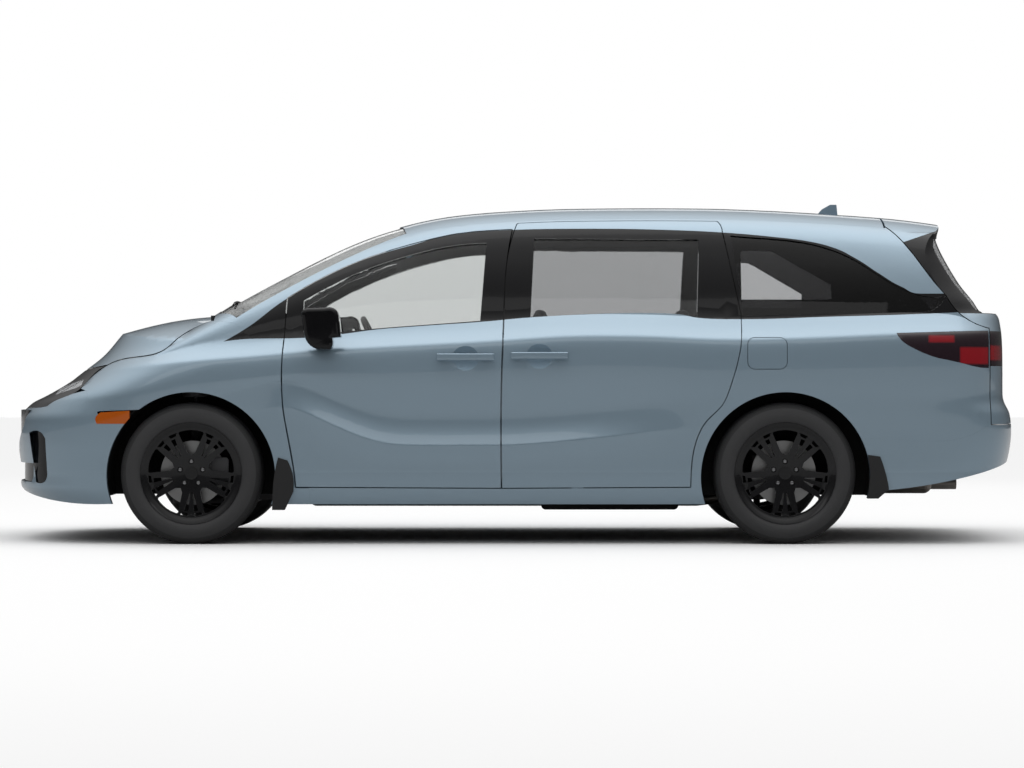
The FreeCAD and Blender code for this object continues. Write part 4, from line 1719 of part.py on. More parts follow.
    # Body sides
    front, rear, top = FENDER_SPACE_shares
    side = body.common(block(SIDE_FRONT_share * LENGTH, SIDE_REAR_share * LENGTH, near,
                             middle_far, SIDE_LOW_share * HEIGHT, high))
    side = side.cut(inner_solid(BODY_WALL, BODY_FRAME))
    wheelhouses = [
        across_cylinder(WHEELHOUSE_RADIUS + LINER_THICKNESS + SEAT, axle_x,
                        TYRE_RADIUS - ARCH_DROP, -WIDTH, 0).common(inner_skin)
        for axle_x in (FRONT_AXLE_X, REAR_AXLE_X)]
    side = side.cut([
        door_gap.fuse([sliding_gap, fender_seat]).cut(inner_flange),
        block(front * LENGTH, rear * LENGTH, -WIDTH, 0, 0, top * HEIGHT),
        side_prism(FRONT_DOOR_shares, near_edge, middle_far, -FLANGE),
        side_prism(SLIDING_DOOR_shares, near_edge, middle_far, -FLANGE),
        side_prism(QUARTER_GLASS_shares, near, middle_far),
        side_prism(TAIL_LAMP_shares, near_edge, far_edge, TAIL_LAMP_GAP),
        block(ROOF_GAP_FRONT_share * LENGTH, roof_rear + ROOF_REAR_GAP, -roof_half - SEAT,
              WIDTH, roof_low, high),
        screen_gap, tailgate_gap, side_prism(BUMPER_REAR_shares, -WIDTH, WIDTH, SEAT),
    ] + wheelhouses)
    side = max(side.Solids, key=lambda s: s.Volume)
    pad_low = FLOOR_LEVEL + FLOOR_THICKNESS
    pad = block(DOOR_PAD_X, DOOR_PAD_X + DOOR_PAD_LENGTH, -DOOR_PAD_Y,
                -DOOR_PAD_Y + DOOR_PAD_WIDTH, pad_low, pad_low + DOOR_PAD_HEIGHT)
    pad = pad.cut(side_prism(SLIDING_DOOR_shares, near, far, SEAT))
    buffers = [
        rod([BUFFER_X, -BUFFER_Y, share * HEIGHT], [gate_edge - SEAT, -BUFFER_Y, share * HEIGHT],
            BUFFER_RADIUS)
        for share in BUFFER_LEVELS_shares]
    side = side.fuse(hinge_arms + [pad] + buffers)
    x0, x1 = FUEL_LID_shares[0] * LENGTH, FUEL_LID_shares[1] * LENGTH
    z0, z1 = FUEL_LID_shares[2] * HEIGHT, FUEL_LID_shares[3] * HEIGHT
    reach, gap = -FUEL_LID_REACH_share * HALF_WIDTH, FUEL_LID_GAP
    lid = rounded(x0, x1, near, reach, z0, z1, FUEL_LID_CORNER, V(0, 1, 0))
    pocket = rounded(x0 - gap, x1 + gap, near, reach, z0 - gap, z1 + gap,
                     FUEL_LID_CORNER + gap, V(0, 1, 0)).cut(lower_body(FUEL_POCKET_DEPTH))
    buffer = across_cylinder(LID_BUFFER_RADIUS, (x0 + x1) / 2 + LID_BUFFER_X, (z0 + z1) / 2,
                             -WIDTH, -LID_BUFFER_Y)
    buffer = buffer.common(lower_body(FUEL_LID_THICKNESS + SEAT))
    keep("body_side_left", side.cut(pocket).fuse(buffer))
    keep("body_side_right", mirrored(side))
    keep("fuel_lid", body.common(lid).cut(lower_body(FUEL_LID_THICKNESS)))
    pane = side_prism(QUARTER_GLASS_shares, near, far, -GLASS_CLEARANCE)
    keep_both("quarter_glass", glass_layer.common(pane).cut(tailgate_gap))

    # Wheels, brakes, suspension and liners
    for end, axle_x in (("front", FRONT_AXLE_X), ("rear", REAR_AXLE_X)):
        keep_pair("tyre_" + end, build_tyre(axle_x))
        keep_pair("rim_" + end, build_rim(axle_x))
        keep_pair("brake_disc_" + end, build_disc(axle_x))
    keep_pair("knuckle", build_knuckle(FRONT_AXLE_X))
    keep("wheel_liners", build_liners(under_skin))
    keep("front_suspension", build_front_suspension())
    keep("rear_suspension", build_rear_suspension())

    # Floor, front structure, engine, tank and exhaust
    keep("floor_pan", build_floor())
    keep("front_structure", build_front_structure(under_skin))
    keep("engine_block", rounded(*ENGINE_X, -ENGINE_HALF_WIDTH, ENGINE_HALF_WIDTH,
                                 SUBFRAME_HIGH + SEAT, ENGINE_HIGH, ENGINE_ROUND))
    keep("fuel_tank", rounded(*TANK_X, *TANK_Y, TANK_LOW, FLOOR_LEVEL - SEAT, TANK_ROUND))
    keep("exhaust", build_exhaust())

    # Cabin
    keep("front_seats", Part.makeCompound([
        single_seat(FRONT_SEAT_X, -SINGLE_SEAT_Y), single_seat(FRONT_SEAT_X, SINGLE_SEAT_Y)]))
    keep("rear_seats", Part.makeCompound([
        single_seat(SECOND_SEAT_X, -SINGLE_SEAT_Y), single_seat(SECOND_SEAT_X, SINGLE_SEAT_Y),
        build_bench()]))
    dashboard, steering_wheel = build_dashboard_and_wheel()
    keep("dashboard", dashboard)
    keep("steering_wheel", steering_wheel)
    keep_pair("mirror", build_mirror(over_body))
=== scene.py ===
"""A light blue family minivan, dressed over its CAD frame."""

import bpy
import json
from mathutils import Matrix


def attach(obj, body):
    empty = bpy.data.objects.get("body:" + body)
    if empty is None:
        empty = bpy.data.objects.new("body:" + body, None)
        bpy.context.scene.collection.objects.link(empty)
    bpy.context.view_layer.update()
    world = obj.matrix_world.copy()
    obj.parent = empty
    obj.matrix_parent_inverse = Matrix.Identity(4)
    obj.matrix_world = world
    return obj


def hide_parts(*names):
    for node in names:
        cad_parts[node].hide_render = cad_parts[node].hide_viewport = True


bl_info = {
    "name": "Minivan Dressing",
    "version": (1, 1, 0),
    "blender": (4, 5, 0),
    "location": "3D View > Sidebar > Minivan",
    "description": "Paints, glazes, upholsters and trims a family minivan over its frame",
    "category": "Object",
}

import json
import math

import bmesh
import bpy
from mathutils import Matrix, Vector
from mathutils.bvhtree import BVHTree

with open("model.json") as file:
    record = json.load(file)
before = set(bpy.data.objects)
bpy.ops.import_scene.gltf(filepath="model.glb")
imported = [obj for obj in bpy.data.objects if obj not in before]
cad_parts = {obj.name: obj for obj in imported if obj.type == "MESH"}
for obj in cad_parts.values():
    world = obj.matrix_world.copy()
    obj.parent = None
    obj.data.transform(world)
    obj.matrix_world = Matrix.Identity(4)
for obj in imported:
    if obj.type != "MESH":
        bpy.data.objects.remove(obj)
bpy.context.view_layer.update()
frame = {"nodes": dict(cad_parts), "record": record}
NODES = frame["nodes"]

# Outward side of each panel; faces that look the other way are cabin trim
PAINTED = {
    "body_side_left": (0, -1, 0), "body_side_right": (0, 1, 0),
    "sliding_door_left": (0, -1, 0), "sliding_door_right": (0, 1, 0),
    "door_front_left": (0, -1, 0), "door_front_right": (0, 1, 0),
    "roof_panel": (0, 0, 1), "tailgate": (1, 0, 0), "fender_left": None, "fender_right": None,
    "bonnet": None, "spoiler": None, "front_bumper": None, "rear_bumper": None,
    "fuel_lid": None, "door_handle_left": None, "door_handle_right": None,
    "sliding_handles": None, "roof_fin": None,
}
BANDED = ("body_side", "sliding_door", "door_front", "fender")
TAIL_BANDED = ("tailgate", "spoiler")
GLOSS_BLACK = ("mirror_left", "mirror_right", "grille", "front_inserts")
CLEAR_GLASS = ("door_front_glass_left", "door_front_glass_right", "windshield")
PRIVACY_GLASS = ("sliding_door_glass", "tailgate_glass")

# Faces of a panel turned this far from its outward side are cabin trim
CABIN_FACE_LIMIT = -0.35
MERGE_DISTANCE = 2e-5

# How fast the edges of painted masks go from none to full
EDGE_SHARPNESS = 900.0
PATCH_SHARPNESS = 90.0

# Boxes on both sides of the vehicle: low corner, high corner, rise towards the rear counted
# from the start of the shear, and sharpness of the edges
SHEAR_START = -2.38
HEAD_CHAMBER = ((-2.345, 0.455, 0.742), (-2.195, 0.905, 0.778), 0.30)
SIDE_MARKER = ((-2.130, 0.5, 0.600), (-1.900, 1.2, 0.690))
QUARTER_PANE = ((1.165, 0.5, 1.237), (1.624, 2.0, 1.489))
QUARTER_CORNER = ((1.0, 0.5, 0.5), (2.0, 2.0, 3.612), -0.574)
TAIL_PATCHES = (((2.095, 0.5, 1.014), (2.236, 1.2, 1.060), 0.0, PATCH_SHARPNESS),
                ((2.255, 0.3, 0.905), (2.420, 1.2, 1.000), 0.0, PATCH_SHARPNESS))
GATE_PATCHES = (((2.0, 0.25, 0.925), (3.0, 1.2, 1.010), 0.0, PATCH_SHARPNESS),)

BAND_BLACK = (0.006, 0.006, 0.007)
SMOKED = (0.022, 0.010, 0.016)
SIGNAL_RED = (0.34, 0.010, 0.018)
AMBER = (0.56, 0.115, 0.008)

# Bays of the head lamp's chamber across Y, and the share of a bay before its dark wall
LAMP_BAY = 0.088
LAMP_BAY_OPEN = 0.86

# Wheels: places of the axles along X, level of their axles, and where the tyre's sidewall
# ends and its shoulder starts, as distances from the axle
AXLES = (("front", -1.6205), ("rear", 1.3795))
AXLE_LEVEL = 0.358
SIDEWALL_END = 0.330
SHOULDER_START = 0.338

# Wheel nuts: radius of their circle, the place across Y of the seats they press on, and
# their own sizes
NUT_COUNT = 5
NUT_CIRCLE = 0.060
NUT_SEAT = 0.9205
NUT_RADIUS = 0.011
NUT_TIP_RADIUS = 0.0095
NUT_HEIGHT = 0.018
NUT_EDGE = 0.0012
NUT_GAP = 0.0005

# Places of the single seats: middle of the cushion along X and across Y, and its underside
SEAT_PLACES = (
    ("driver", -0.330, -0.390, 0.330), ("passenger", -0.330, 0.390, 0.330),
    ("second_left", 0.410, -0.390, 0.330), ("second_right", 0.410, 0.390, 0.330),
)


class MinivanPaint(bpy.types.PropertyGroup):
    """Colours and small sizes of the bodywork and the cabin"""

    body: bpy.props.FloatVectorProperty(
        name="Body colour", description="Main paint colour of the panels", subtype="COLOR",
        size=3, min=0, max=1, default=(0.285, 0.390, 0.475))
    flake_size: bpy.props.FloatProperty(
        name="Flake size", description="Size of the metallic flakes in the paint",
        subtype="DISTANCE", default=0.0006, min=0.0001, max=0.01)
    cloth: bpy.props.FloatVectorProperty(
        name="Seat cloth", description="Colour of the seat covers", subtype="COLOR",
        size=3, min=0, max=1, default=(0.060, 0.062, 0.066))
    weave: bpy.props.FloatProperty(
        name="Weave pitch", description="Distance between threads of the seat cloth",
        subtype="DISTANCE", default=0.004, min=0.001, max=0.02)
    wiper_width: bpy.props.FloatProperty(
        name="Wiper width", description="Width of a wiper arm", subtype="DISTANCE",
        default=0.014, min=0.004, max=0.04)


def body_of(node):
    """Name of the CAD body that a node rides on."""
    for name, nodes in frame["record"]["behaviour"]["bodies"].items():
        if node in nodes:
            return name
    raise KeyError(node)


def add_piece(name, bm, body, material=None, smooth=True):
    """Piece made from a finished bmesh, riding on a CAD body."""
    bmesh.ops.recalc_face_normals(bm, faces=bm.faces)
    for face in bm.faces:
        face.smooth = smooth
    mesh = bpy.data.meshes.new(name)
    bm.to_mesh(mesh)
    bm.free()
    piece = bpy.data.objects.new(name, mesh)
    bpy.context.scene.collection.objects.link(piece)
    if material:
        mesh.materials.append(material)
    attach(piece, body)
    return piece


def smooth_copy(node, name, materials, outward=None, angle=32.0):
    """Merged, smooth-shaded copy of a CAD node that stands in for it.

    Faces that look away from the outward side get the second material.
    """
    bm = bmesh.new()
    bm.from_mesh(NODES[node].data)
    bmesh.ops.remove_doubles(bm, verts=bm.verts, dist=MERGE_DISTANCE)
    limit = math.radians(angle)
    for edge in bm.edges:
        edge.smooth = len(edge.link_faces) == 2 and edge.calc_face_angle(0) <= limit
    for face in bm.faces:
        face.smooth = True
        if outward:
            facing = face.normal.dot(Vector(outward))
            face.material_index = int(facing < CABIN_FACE_LIMIT)
    mesh = bpy.data.meshes.new(name)
    bm.to_mesh(mesh)
    bm.free()
    for material in materials:
        mesh.materials.append(material)
    piece = bpy.data.objects.new(name, mesh)
    bpy.context.scene.collection.objects.link(piece)
    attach(piece, body_of(node))
    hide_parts(node)
    return piece


def surface_tree(*nodes):
    """Search tree over the outer surface of CAD nodes."""
    bm = bmesh.new()
    for node in nodes:
        bm.from_mesh(NODES[node].data)
    tree = BVHTree.FromBMesh(bm)
    bm.free()
    return tree


def cast(tree, start, direction):
    """First point and normal that a ray meets."""
    point, normal, _, _ = tree.ray_cast(Vector(start), Vector(direction))
    if point is None:
        raise RuntimeError("nothing found from %s" % (tuple(start),))
    return point, normal


def node_tree(material):
    material.use_nodes = True
    return material.node_tree


def shader_of(material):
    return next(n for n in material.node_tree.nodes if n.type == "BSDF_PRINCIPLED")


def plain_material(name, color, roughness=0.5, metallic=0.0, **inputs):
    material = bpy.data.materials.new(name)
    node_tree(material)
    shader = shader_of(material)
    shader.inputs["Base Color"].default_value = (*color, 1)
    shader.inputs["Roughness"].default_value = roughness
    shader.inputs["Metallic"].default_value = metallic
    for key, value in inputs.items():
        shader.inputs[key.replace("_", " ")].default_value = value
    return material


def new_group(name, inputs, outputs):
    tree = bpy.data.node_groups.new(name, "ShaderNodeTree")
    for label, kind, default in inputs:
        socket = tree.interface.new_socket(label, in_out="INPUT", socket_type=kind)
        if default is not None:
            socket.default_value = default
    for label, kind in outputs:
        tree.interface.new_socket(label, in_out="OUTPUT", socket_type=kind)
    return tree, tree.nodes.new("NodeGroupInput"), tree.nodes.new("NodeGroupOutput")


def connect(tree, value, socket):
    """Links an output to a socket, or sets the socket's own value."""
    if hasattr(value, "is_output"):
        tree.links.new(value, socket)
    else:
        socket.default_value = value


def math_node(tree, operation, *values, clamp=False):
    node = tree.nodes.new("ShaderNodeMath")
    node.operation = operation
    node.use_clamp = clamp
    for i, value in enumerate(values):
        connect(tree, value, node.inputs[i])
    return node.outputs[0]


def vector_node(tree, operation, *values):
    node = tree.nodes.new("ShaderNodeVectorMath")
    node.operation = operation
    for i, value in enumerate(values):
        connect(tree, value, node.inputs[i])
    return node.outputs[0]


def split_place(tree, place):
    """X, distance from the middle, and Z of a place on the vehicle."""
    split = tree.nodes.new("ShaderNodeSeparateXYZ")
    tree.links.new(place, split.inputs[0])
    return split.outputs["X"], math_node(tree, "ABSOLUTE", split.outputs["Y"]), split.outputs["Z"]


def curve_node(tree, source, points):
    """Float curve through points given as (place, value), both from 0 to 1."""
    node = tree.nodes.new("ShaderNodeFloatCurve")
    curve = node.mapping.curves[0]
    curve.points[0].location = points[0]
    curve.points[-1].location = points[-1]
    for x, y in points[1:-1]:
        curve.points.new(x, y)
    for point in curve.points:
        point.handle_type = "AUTO_CLAMPED"
    node.mapping.update()
    tree.links.new(source, node.inputs["Value"])
    return node.outputs[0]


BELT = ((-1.600, 1.000), (-1.354, 1.036), (-1.060, 1.042), (-0.870, 1.060), (-0.692, 1.084),
        (-0.466, 1.102), (-0.152, 1.124), (0.091, 1.146), (0.405, 1.163), (0.694, 1.172),
        (0.846, 1.163), (0.952, 1.143), (1.160, 1.137), (1.621, 1.150), (1.965, 1.160),
        (2.400, 1.178))
WINDOW_TOP = ((-1.600, 0.950), (-1.354, 1.088), (-1.158, 1.235), (-0.942, 1.361),
              (-0.728, 1.455), (-0.518, 1.518), (-0.283, 1.579), (-0.107, 1.594),
              (0.390, 1.605), (0.743, 1.600), (1.060, 1.586), (1.336, 1.562), (1.508, 1.540),
              (1.632, 1.509), (1.752, 1.450), (1.868, 1.372), (1.985, 1.302), (2.080, 1.269),
              (2.215, 1.269), (2.400, 1.180))


# Start and span of the side windows' black band along X and Z
BAND_START = (-1.6, 0.9)
BAND_SPAN = (4.0, 0.8)


def window_band_group():
    """Mask of the black band round the side windows, from the place on the body."""
    tree, inside, outside = new_group("Window Band", (("Place", "NodeSocketVector", None),),
                                      (("Mask", "NodeSocketFloat"),))
    x, _, z = split_place(tree, inside.outputs["Place"])
    along, level = (
        math_node(tree, "MULTIPLY_ADD", value, 1 / span, -start / span)
        for value, start, span in zip((x, z), BAND_START, BAND_SPAN))

    def scaled(points):
        return [tuple((value - start) / span for value, start, span
                      in zip(point, BAND_START, BAND_SPAN)) for point in points]

    above = math_node(tree, "SUBTRACT", level, curve_node(tree, along, scaled(BELT)))
    below = math_node(tree, "SUBTRACT", curve_node(tree, along, scaled(WINDOW_TOP)), level)
    above = math_node(tree, "MULTIPLY", above, EDGE_SHARPNESS, clamp=True)
    below = math_node(tree, "MULTIPLY", below, EDGE_SHARPNESS, clamp=True)
    tree.links.new(math_node(tree, "MULTIPLY", above, below), outside.inputs["Mask"])


# Black band of the tailgate: level of its foot, and its top as level at X = 0 and rise with X
TAIL_BAND_FOOT = 1.168
TAIL_BAND_TOP = 0.855
TAIL_BAND_RISE = 0.34


def tail_band_group():
    """Mask of the black surround of the rear window and of the spoiler's blades."""
    tree, inside, outside = new_group("Tail Band", (("Place", "NodeSocketVector", None),),
                                      (("Mask", "NodeSocketFloat"),))
    x, _, z = split_place(tree, inside.outputs["Place"])
    line = math_node(tree, "MULTIPLY_ADD", x, TAIL_BAND_RISE, TAIL_BAND_TOP)
    below = math_node(tree, "MULTIPLY", math_node(tree, "SUBTRACT", line, z), EDGE_SHARPNESS,
                      clamp=True)
    above = math_node(tree, "MULTIPLY", math_node(tree, "SUBTRACT", z, TAIL_BAND_FOOT),
                      EDGE_SHARPNESS, clamp=True)
    tree.links.new(math_node(tree, "MULTIPLY", above, below), outside.inputs["Mask"])


def zone_group():
    """Mask of a box on both sides of the vehicle, sheared upwards towards the rear."""
    tree, inside, outside = new_group(
        "Zone",
        (("Place", "NodeSocketVector", None), ("Low", "NodeSocketVector", None),
         ("High", "NodeSocketVector", None), ("Slope", "NodeSocketFloat", 0.0),
         ("Sharp", "NodeSocketFloat", 600.0)),
        (("Mask", "NodeSocketFloat"),))
    x, across, z = split_place(tree, inside.outputs["Place"])
    from_low = math_node(tree, "MULTIPLY", math_node(tree, "SUBTRACT", x, SHEAR_START),
                         inside.outputs["Slope"])
    level = math_node(tree, "SUBTRACT", z, from_low)
    joined = tree.nodes.new("ShaderNodeCombineXYZ")
    for value, label in ((x, "X"), (across, "Y"), (level, "Z")):
        tree.links.new(value, joined.inputs[label])
    mask = None
    for first, second in ((joined.outputs[0], inside.outputs["Low"]),
                          (inside.outputs["High"], joined.outputs[0])):
        gap = tree.nodes.new("ShaderNodeSeparateXYZ")
        tree.links.new(vector_node(tree, "SUBTRACT", first, second), gap.inputs[0])
        for label in ("X", "Y", "Z"):
            part = math_node(tree, "MULTIPLY", gap.outputs[label], inside.outputs["Sharp"],
                             clamp=True)
            mask = part if mask is None else math_node(tree, "MULTIPLY", mask, part)
    tree.links.new(mask, outside.inputs["Mask"])


def grain_group():
    """Slow and fine changes of tone and height that keep a surface from looking dead."""
    tree, inside, outside = new_group(
        "Fine Grain",
        (("Place", "NodeSocketVector", None), ("Scale", "NodeSocketFloat", 400.0),
         ("Base", "NodeSocketFloat", 0.5), ("Spread", "NodeSocketFloat", 0.1)),
        (("Roughness", "NodeSocketFloat"), ("Height", "NodeSocketFloat")))
    noise = tree.nodes.new("ShaderNodeTexNoise")
    noise.inputs["Detail"].default_value = 4
    tree.links.new(inside.outputs["Place"], noise.inputs["Vector"])
    tree.links.new(inside.outputs["Scale"], noise.inputs["Scale"])
    slow = tree.nodes.new("ShaderNodeTexNoise")
    slow.inputs["Scale"].default_value = 6
    tree.links.new(inside.outputs["Place"], slow.inputs["Vector"])
    both = math_node(tree, "ADD", noise.outputs[0], slow.outputs[0])
    swing = math_node(tree, "MULTIPLY", math_node(tree, "SUBTRACT", both, 1.0),
                      inside.outputs["Spread"])
    rough = math_node(tree, "ADD", swing, inside.outputs["Base"], clamp=True)
    tree.links.new(rough, outside.inputs["Roughness"])
    tree.links.new(noise.outputs[0], outside.inputs["Height"])


def wheel_marks_group():
    """Sidewall rings and tread sipes of a tyre, from the place about its axle line."""
    tree, inside, outside = new_group(
        "Tyre Marks", (("Place", "NodeSocketVector", None),),
        (("Height", "NodeSocketFloat"), ("Tone", "NodeSocketFloat")))
    split = tree.nodes.new("ShaderNodeSeparateXYZ")
    tree.links.new(inside.outputs["Place"], split.inputs[0])
    x, z = split.outputs["X"], split.outputs["Z"]
    radius = math_node(tree, "SQRT", math_node(
        tree, "ADD", math_node(tree, "MULTIPLY", x, x), math_node(tree, "MULTIPLY", z, z)))
    turn = math_node(tree, "ARCTAN2", z, x)
    rings = math_node(tree, "SINE", math_node(tree, "MULTIPLY", radius, 900.0))
    on_wall = math_node(tree, "MULTIPLY", math_node(tree, "SUBTRACT", SIDEWALL_END, radius), 300.0,
                        clamp=True)
    rings = math_node(tree, "MULTIPLY", rings, on_wall)
    ribs = math_node(tree, "SINE", math_node(tree, "MULTIPLY", turn, 180.0))
    on_shoulder = math_node(tree, "MULTIPLY", math_node(tree, "SUBTRACT", radius,
                                                   SHOULDER_START), 300.0, clamp=True)
    ribs = math_node(tree, "MULTIPLY", math_node(tree, "GREATER_THAN", ribs, 0.72), on_shoulder)
    height = math_node(tree, "MULTIPLY_ADD", rings, 0.12,
                       math_node(tree, "MULTIPLY", ribs, -1.0))
    tree.links.new(height, outside.inputs["Height"])
    tree.links.new(on_wall, outside.inputs["Tone"])


def weave_group():
    """Over and under threads of a cloth, as height and tone."""
    tree, inside, outside = new_group(
        "Cloth Weave",
        (("Place", "NodeSocketVector", None), ("Pitch", "NodeSocketFloat", 0.004)),
        (("Height", "NodeSocketFloat"), ("Tone", "NodeSocketFloat")))
    scaled = vector_node(tree, "SCALE", inside.outputs["Place"])
    count = math_node(tree, "DIVIDE", 6.2832, inside.outputs["Pitch"])
    tree.links.new(count, scaled.node.inputs["Scale"])
    split = tree.nodes.new("ShaderNodeSeparateXYZ")
    tree.links.new(scaled, split.inputs[0])
    warp = math_node(tree, "SINE", math_node(tree, "ADD", split.outputs["X"],
                                             split.outputs["Z"]))
    weft = math_node(tree, "SINE", split.outputs["Y"])
    both = math_node(tree, "MULTIPLY", warp, weft)
    noise = tree.nodes.new("ShaderNodeTexNoise")
    noise.inputs["Scale"].default_value = 18
    tree.links.new(inside.outputs["Place"], noise.inputs["Vector"])
    tone = math_node(tree, "MULTIPLY_ADD", both, 0.25, noise.outputs[0])
    tree.links.new(both, outside.inputs["Height"])
    tree.links.new(tone, outside.inputs["Tone"])


def place_group(tree, name, **values):
    node = tree.nodes.new("ShaderNodeGroup")
    node.node_tree = bpy.data.node_groups[name]
    for key, value in values.items():
        connect(tree, value, node.inputs[key.replace("_", " ")])
    return node


def object_place(tree):
    return tree.nodes.new("ShaderNodeTexCoord").outputs["Object"]


def zone(tree, place, low, high, slope=0.0, sharp=600.0):
    group = place_group(tree, "Zone", Place=place, Low=low, High=high, Slope=slope, Sharp=sharp)
    return group.outputs["Mask"]


def add_bump(material, height, strength, distance):
    tree = material.node_tree
    node = tree.nodes.new("ShaderNodeBump")
    node.inputs["Strength"].default_value = strength
    node.inputs["Distance"].default_value = distance
    tree.links.new(height, node.inputs["Height"])
    tree.links.new(node.outputs["Normal"], shader_of(material).inputs["Normal"])


def add_grain(material, scale=400.0, base=0.5, spread=0.1, bump=0.0, distance=0.0005):
    """Roughness and bump from the shared grain group."""
    tree = node_tree(material)
    grain = place_group(tree, "Fine Grain", Place=object_place(tree), Scale=scale, Base=base,
                        Spread=spread)
    tree.links.new(grain.outputs["Roughness"], shader_of(material).inputs["Roughness"])
    if bump:
        add_bump(material, grain.outputs["Height"], bump, distance)
    return material


def mix_color(tree, factor, first, second):
    node = tree.nodes.new("ShaderNodeMix")
    node.data_type = "RGBA"
    connect(tree, factor, node.inputs["Factor"])
    for label, value in (("A", first), ("B", second)):
        socket = next(s for s in node.inputs if s.name == label and s.type == "RGBA")
        connect(tree, value if hasattr(value, "is_output") else (*value, 1), socket)
    return next(s for s in node.outputs if s.type == "RGBA")


def paint_material(name, color, flake_size, band=None):
    """Clear-coated metallic paint, with a black band where a band group is named."""
    material = plain_material(name, color, roughness=0.34, metallic=0.45, Coat_Weight=1.0,
                              Coat_Roughness=0.03)
    tree = node_tree(material)
    shader = shader_of(material)
    place = object_place(tree)
    flakes = tree.nodes.new("ShaderNodeTexVoronoi")
    flakes.inputs["Scale"].default_value = 1.0 / flake_size
    tree.links.new(place, flakes.inputs["Vector"])
    tone = math_node(tree, "MULTIPLY_ADD", flakes.outputs["Distance"], 0.10, 0.0)
    body = mix_color(tree, tone, color, tuple(min(1.0, c * 1.5 + 0.05) for c in color))
    if band:
        mask = place_group(tree, band, Place=place).outputs["Mask"]
        body = mix_color(tree, mask, body, BAND_BLACK)
        metal = math_node(tree, "MULTIPLY_ADD", mask, -0.45, 0.45)
        rough = math_node(tree, "MULTIPLY_ADD", mask, -0.22, 0.34)
        coat = math_node(tree, "MULTIPLY_ADD", mask, -0.78, 1.0)
        shine = math_node(tree, "MULTIPLY_ADD", mask, -0.32, 0.5)
        tree.links.new(metal, shader.inputs["Metallic"])
        tree.links.new(rough, shader.inputs["Roughness"])
        tree.links.new(coat, shader.inputs["Coat Weight"])
        tree.links.new(shine, shader.inputs["Specular IOR Level"])
    tree.links.new(body, shader.inputs["Base Color"])
    return material


class MINIVAN_OT_groups(bpy.types.Operator):
    """Makes the node groups that several finishes share"""

    bl_idname = "minivan.groups"
    bl_label = "Shared Effects"

    def execute(self, context):
        window_band_group()
        tail_band_group()
        zone_group()
        grain_group()
        wheel_marks_group()
        weave_group()
        return {"FINISHED"}


class MINIVAN_OT_paintwork(bpy.types.Operator):
    """Smooths and paints the body panels"""

    bl_idname = "minivan.paintwork"
    bl_label = "Paintwork"

    def execute(self, context):
        settings = context.scene.minivan_paint
        color = tuple(settings.body)
        flake = settings.flake_size
        paints = {
            None: paint_material("Body Paint", color, flake),
            "Window Band": paint_material("Body Paint Side", color, flake, "Window Band"),
            "Tail Band": paint_material("Body Paint Tail", color, flake, "Tail Band"),
        }
        cabin = add_grain(plain_material("Cabin Trim", (0.055, 0.055, 0.058), 0.7), 260, 0.7,
                          0.2, 0.3)
        liner = add_grain(plain_material("Head Lining", (0.30, 0.30, 0.29), 0.9), 700, 0.88,
                          0.1, 0.4)
        for node, outward in PAINTED.items():
            band = "Window Band" if node.startswith(BANDED) else None
            band = "Tail Band" if node in TAIL_BANDED else band
            inner = liner if node == "roof_panel" else cabin
            smooth_copy(node, node + "_skin", (paints[band], inner), outward)
        return {"FINISHED"}


class MINIVAN_OT_black_trim(bpy.types.Operator):
    """Finishes the gloss black grille and mirrors and the grained black plastic"""

    bl_idname = "minivan.black_trim"
    bl_label = "Black Trim"

    def execute(self, context):
        gloss = plain_material("Gloss Black", BAND_BLACK, 0.12, Coat_Weight=0.22,
                               Specular_IOR_Level=0.2)
        add_grain(gloss, 30, 0.12, 0.06)
        grained = add_grain(plain_material("Black Plastic", (0.014, 0.014, 0.015), 0.55),
                            900, 0.55, 0.15, 0.35)
        for node in GLOSS_BLACK:
            smooth_copy(node, node + "_skin", (gloss,))
        smooth_copy("mud_flaps", "mud_flaps_skin", (grained,))
        silver = plain_material("Mirror Silver", (0.80, 0.82, 0.83), 0.03, 1.0)
        add_grain(silver, 12, 0.03, 0.01)
        for side, sign in (("left", -1), ("right", 1)):
            tree = surface_tree("mirror_" + side)
            bm = bmesh.new()
            bmesh.ops.create_grid(bm, x_segments=12, y_segments=8, size=0.5)
            for vert in bm.verts:
                across = sign * (1.067 + vert.co.x * 0.092)
                level = 1.092 + vert.co.y * 0.078
                point, _ = cast(tree, (-0.3, across, level), (-1, 0, 0))
                vert.co = point + Vector((0.0015, 0, 0))
            bmesh.ops.recalc_face_normals(bm, faces=bm.faces)
            bmesh.ops.solidify(bm, geom=bm.faces[:], thickness=0.002)
            add_piece("mirror_pane_" + side, bm, body_of("mirror_" + side),
                      silver)
        return {"FINISHED"}


